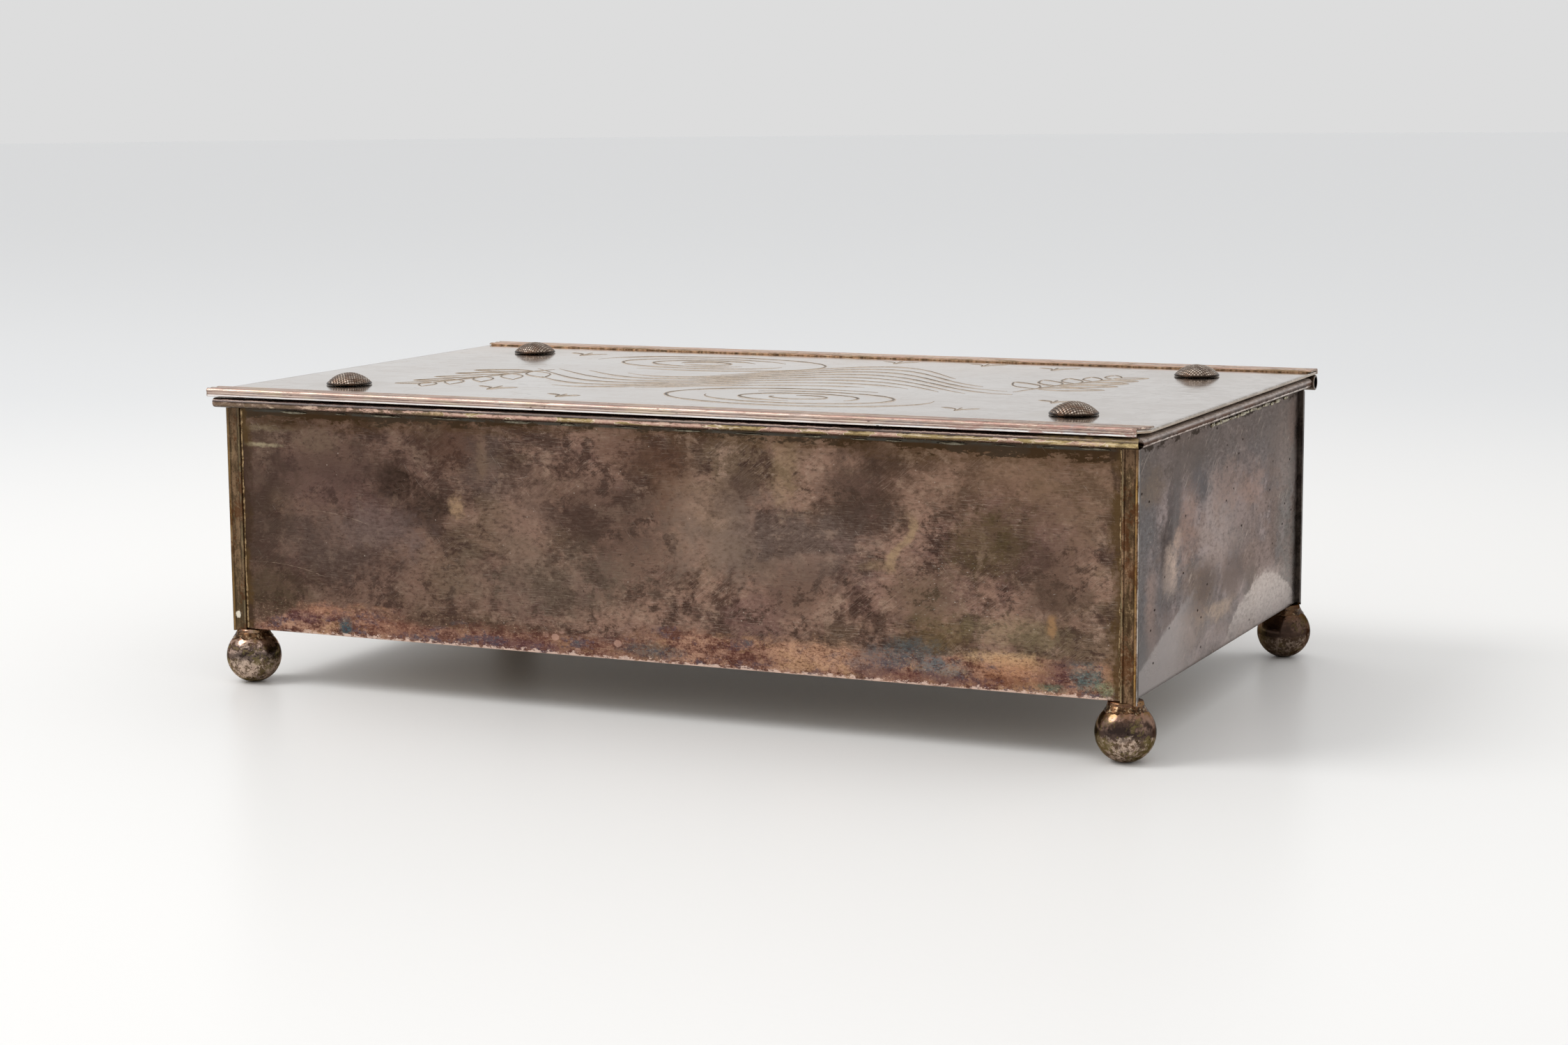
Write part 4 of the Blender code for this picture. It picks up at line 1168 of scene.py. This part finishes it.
def solder_at_back_strip():
    """A thin run of solder where the back reeded strip meets the lid."""
    shape = bmesh.new()
    edge = BACK_STRIP_Y - 0.02
    top = LID_TOP_Z + 0.01
    steps = 256
    rows = []
    for i in range(steps + 1):
        x = BACK_RUN_X * (2 * i / steps - 1)
        swell = 1 + 0.5 * field.noise(Vector((x * 0.3, 3, 0)))
        points = ((edge, top), (edge - 0.36 * swell, top), (edge, top + 0.34 * swell))
        rows.append([shape.verts.new(Vector((x, y, z)) * MM) for y, z in points])
    skin(shape, rows)
    shape.faces.new(rows[0])
    shape.faces.new(rows[-1])
    return facing_out(shape)


add_piece("rim_solder", solder_under_rims(), "solder", "case")
add_piece("back_strip_solder", solder_at_back_strip(), "strip_solder", "lid")
add_piece("corner_solder", solder_at_corners(), "corner_solder", "case")

# Feet: a turned ball with a soldered collar, each in place of its faceted solid
BALL_RADIUS = 7.196
BALL_MIDDLE_Z = 7.0993
COLLAR_RADIUS = 4.4


def turned_ball(centre, top, seed):
    """A smooth ball on a small sole, with faint dents low down and the collar above, up to top in mm."""
    sole = sqrt(BALL_RADIUS**2 - BALL_MIDDLE_Z**2)
    profile = [(0, 0), (sole, 0)]
    low = asin(-BALL_MIDDLE_Z / BALL_RADIUS)
    high = acos(COLLAR_RADIUS / BALL_RADIUS)
    for step in range(1, 49):
        a = low + (high - low) * step / 48
        profile.append((BALL_RADIUS * cos(a), BALL_MIDDLE_Z + BALL_RADIUS * sin(a)))
    profile += [(COLLAR_RADIUS - 0.15, top - 0.35), (COLLAR_RADIUS - 0.3, top), (0, top)]
    shape = bmesh.new()
    rows = []
    steps = 96
    for radius, z in profile:
        row = []
        for step in range(steps if radius else 1):
            a = tau * step / steps
            x, y = radius * cos(a), radius * sin(a)
            dent = max(0, rag_of((x / 1.3, y / 1.3, z / 1.3 + seed), 3) - 0.1)
            dent *= 0.12 * min(1, max(0, (7 - z) / 2)) * min(1, z / 2)
            share = 1 - dent / BALL_RADIUS
            row.append(shape.verts.new((centre.x + x * share * MM, centre.y + y * share * MM, z * MM)))
        rows.append(row)
    skin(shape, rows)
    return facing_out(shape)


for index, corner_name in enumerate(CORNERS):
    node = f"ball_foot_{corner_name}"
    ball_shape = turned_ball(middle_of(node), edge_of(node, HIGH, "z"), index * 5)
    piece = add_piece(f"turned_ball_{corner_name}", ball_shape, "ball", "case")
    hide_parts(node)

# Skirt of solder on a foot: distance from the foot's axis, height, share of the raggedness
SKIRT = (
    (3.3, 14, 0),
    (4.15, 13.86, 0.1),
    (4.48, 13.45, 0.3),
    (4.62, 13.05, 0.4),
    (4.95, 12.62, 0.8),
    (5.2, 12.25, 1),
    (5.1, 12.05, 1),
    (4.2, 12.6, 0.2),
    (3.3, 12.9, 0),
)


def foot_skirt(centre, seed):
    """A ragged skirt of solder that runs from a foot's collar down on to its ball."""
    shape = bmesh.new()
    rows = []
    steps = 84
    for radius, z, share in SKIRT:
        row = []
        for step in range(steps):
            a = tau * step / steps
            n = Vector((cos(a), sin(a), 0))
            rag = rag_of((n.x * 2, n.y * 2, seed), 5)
            r = radius + 0.55 * share * rag
            drop = 0.95 * (r - radius) if share > 0.5 else 0.12 * rag * share
            row.append(shape.verts.new((centre.x + n.x * r * MM, centre.y + n.y * r * MM, (z - drop) * MM)))
        rows.append(row)
    skin(shape, rows + rows[:1])
    return facing_out(shape)


for index, corner_name in enumerate(CORNERS):
    skirt = foot_skirt(middle_of(f"ball_foot_{corner_name}"), index * 7 + 2)
    add_piece(f"foot_skirt_{corner_name}", skirt, "collar", "case")


# Studio: pale floor, grey backdrop in the world, one soft lamp


def make_floor():
    m = Metal("floor_white", metallic=0)
    m.colour = m.blend(m.distance((0, 0, 0)), 240, 900, (245, 244, 242), (229, 230, 231))
    m.shader.inputs["Specular IOR Level"].default_value = 0.14
    material = m.finish(0.32, m.bump(m.noise(2.4, 2), 0.05, 0.6))
    shape = bmesh.new()
    bmesh.ops.create_circle(shape, cap_ends=True, segments=96, radius=9)
    solid("floor", shape, material)


def make_world():
    world = bpy.data.worlds.new("studio")
    bpy.context.scene.world = world
    world.use_nodes = True
    tree = world.node_tree
    back = tree.nodes["Background"]
    place = tree.nodes.new("ShaderNodeTexCoord")
    split = tree.nodes.new("ShaderNodeSeparateXYZ")
    tree.links.new(place.outputs["Generated"], split.inputs[0])
    ramp = tree.nodes.new("ShaderNodeValToRGB")
    tree.links.new(split.outputs["Z"], ramp.inputs[0])
    stops = ramp.color_ramp.elements
    stops[0].position, stops[0].color = 0, linear((218, 218, 218))
    stops[1].position, stops[1].color = 1, (0.95, 0.95, 0.95, 1)
    stops.new(0.3).color = linear((219, 219, 219))
    tree.links.new(ramp.outputs[0], back.inputs["Color"])
    back.inputs["Strength"].default_value = 1.03


def make_lamp():
    data = bpy.data.lights.new("soft_lamp", "AREA")
    data.shape = "DISK"
    data.size = 1
    data.energy = 13
    lamp = placed("soft_lamp", data)
    lamp.location = (-1.05, -0.72, 1.45)
    aim = Vector((0, 0, 0.04)) - lamp.location
    lamp.rotation_euler = aim.to_track_quat("-Z", "Y").to_euler()


def make_camera():
    """The photograph's own view, fitted to the box's edges."""
    turn, pitch, roll = -0.4337022, 0.1473644, -0.0074352
    sa, ca, sp, cp = sin(turn), cos(turn), sin(pitch), cos(pitch)
    ahead = Vector((sa * cp, ca * cp, -sp))
    right = Vector((ca, -sa, 0))
    up = right.cross(ahead)
    cr, sr = cos(roll), sin(roll)
    across, over = cr * right + sr * up, -sr * right + cr * up
    data = bpy.data.cameras.new("camera")
    data.sensor_width = 36
    data.lens = 67.07
    data.clip_start, data.clip_end = 0.01, 50
    camera = placed("camera", data)
    spot = Vector((0.32803, -0.70255, 0.15496))
    camera.matrix_world = Matrix(
        [[across[i], over[i], -ahead[i], spot[i]] for i in range(3)] + [[0, 0, 0, 1]]
    )
    bpy.context.scene.camera = camera


make_floor()
make_world()
make_lamp()
make_camera()
bpy.context.scene.view_settings.view_transform = "Standard"
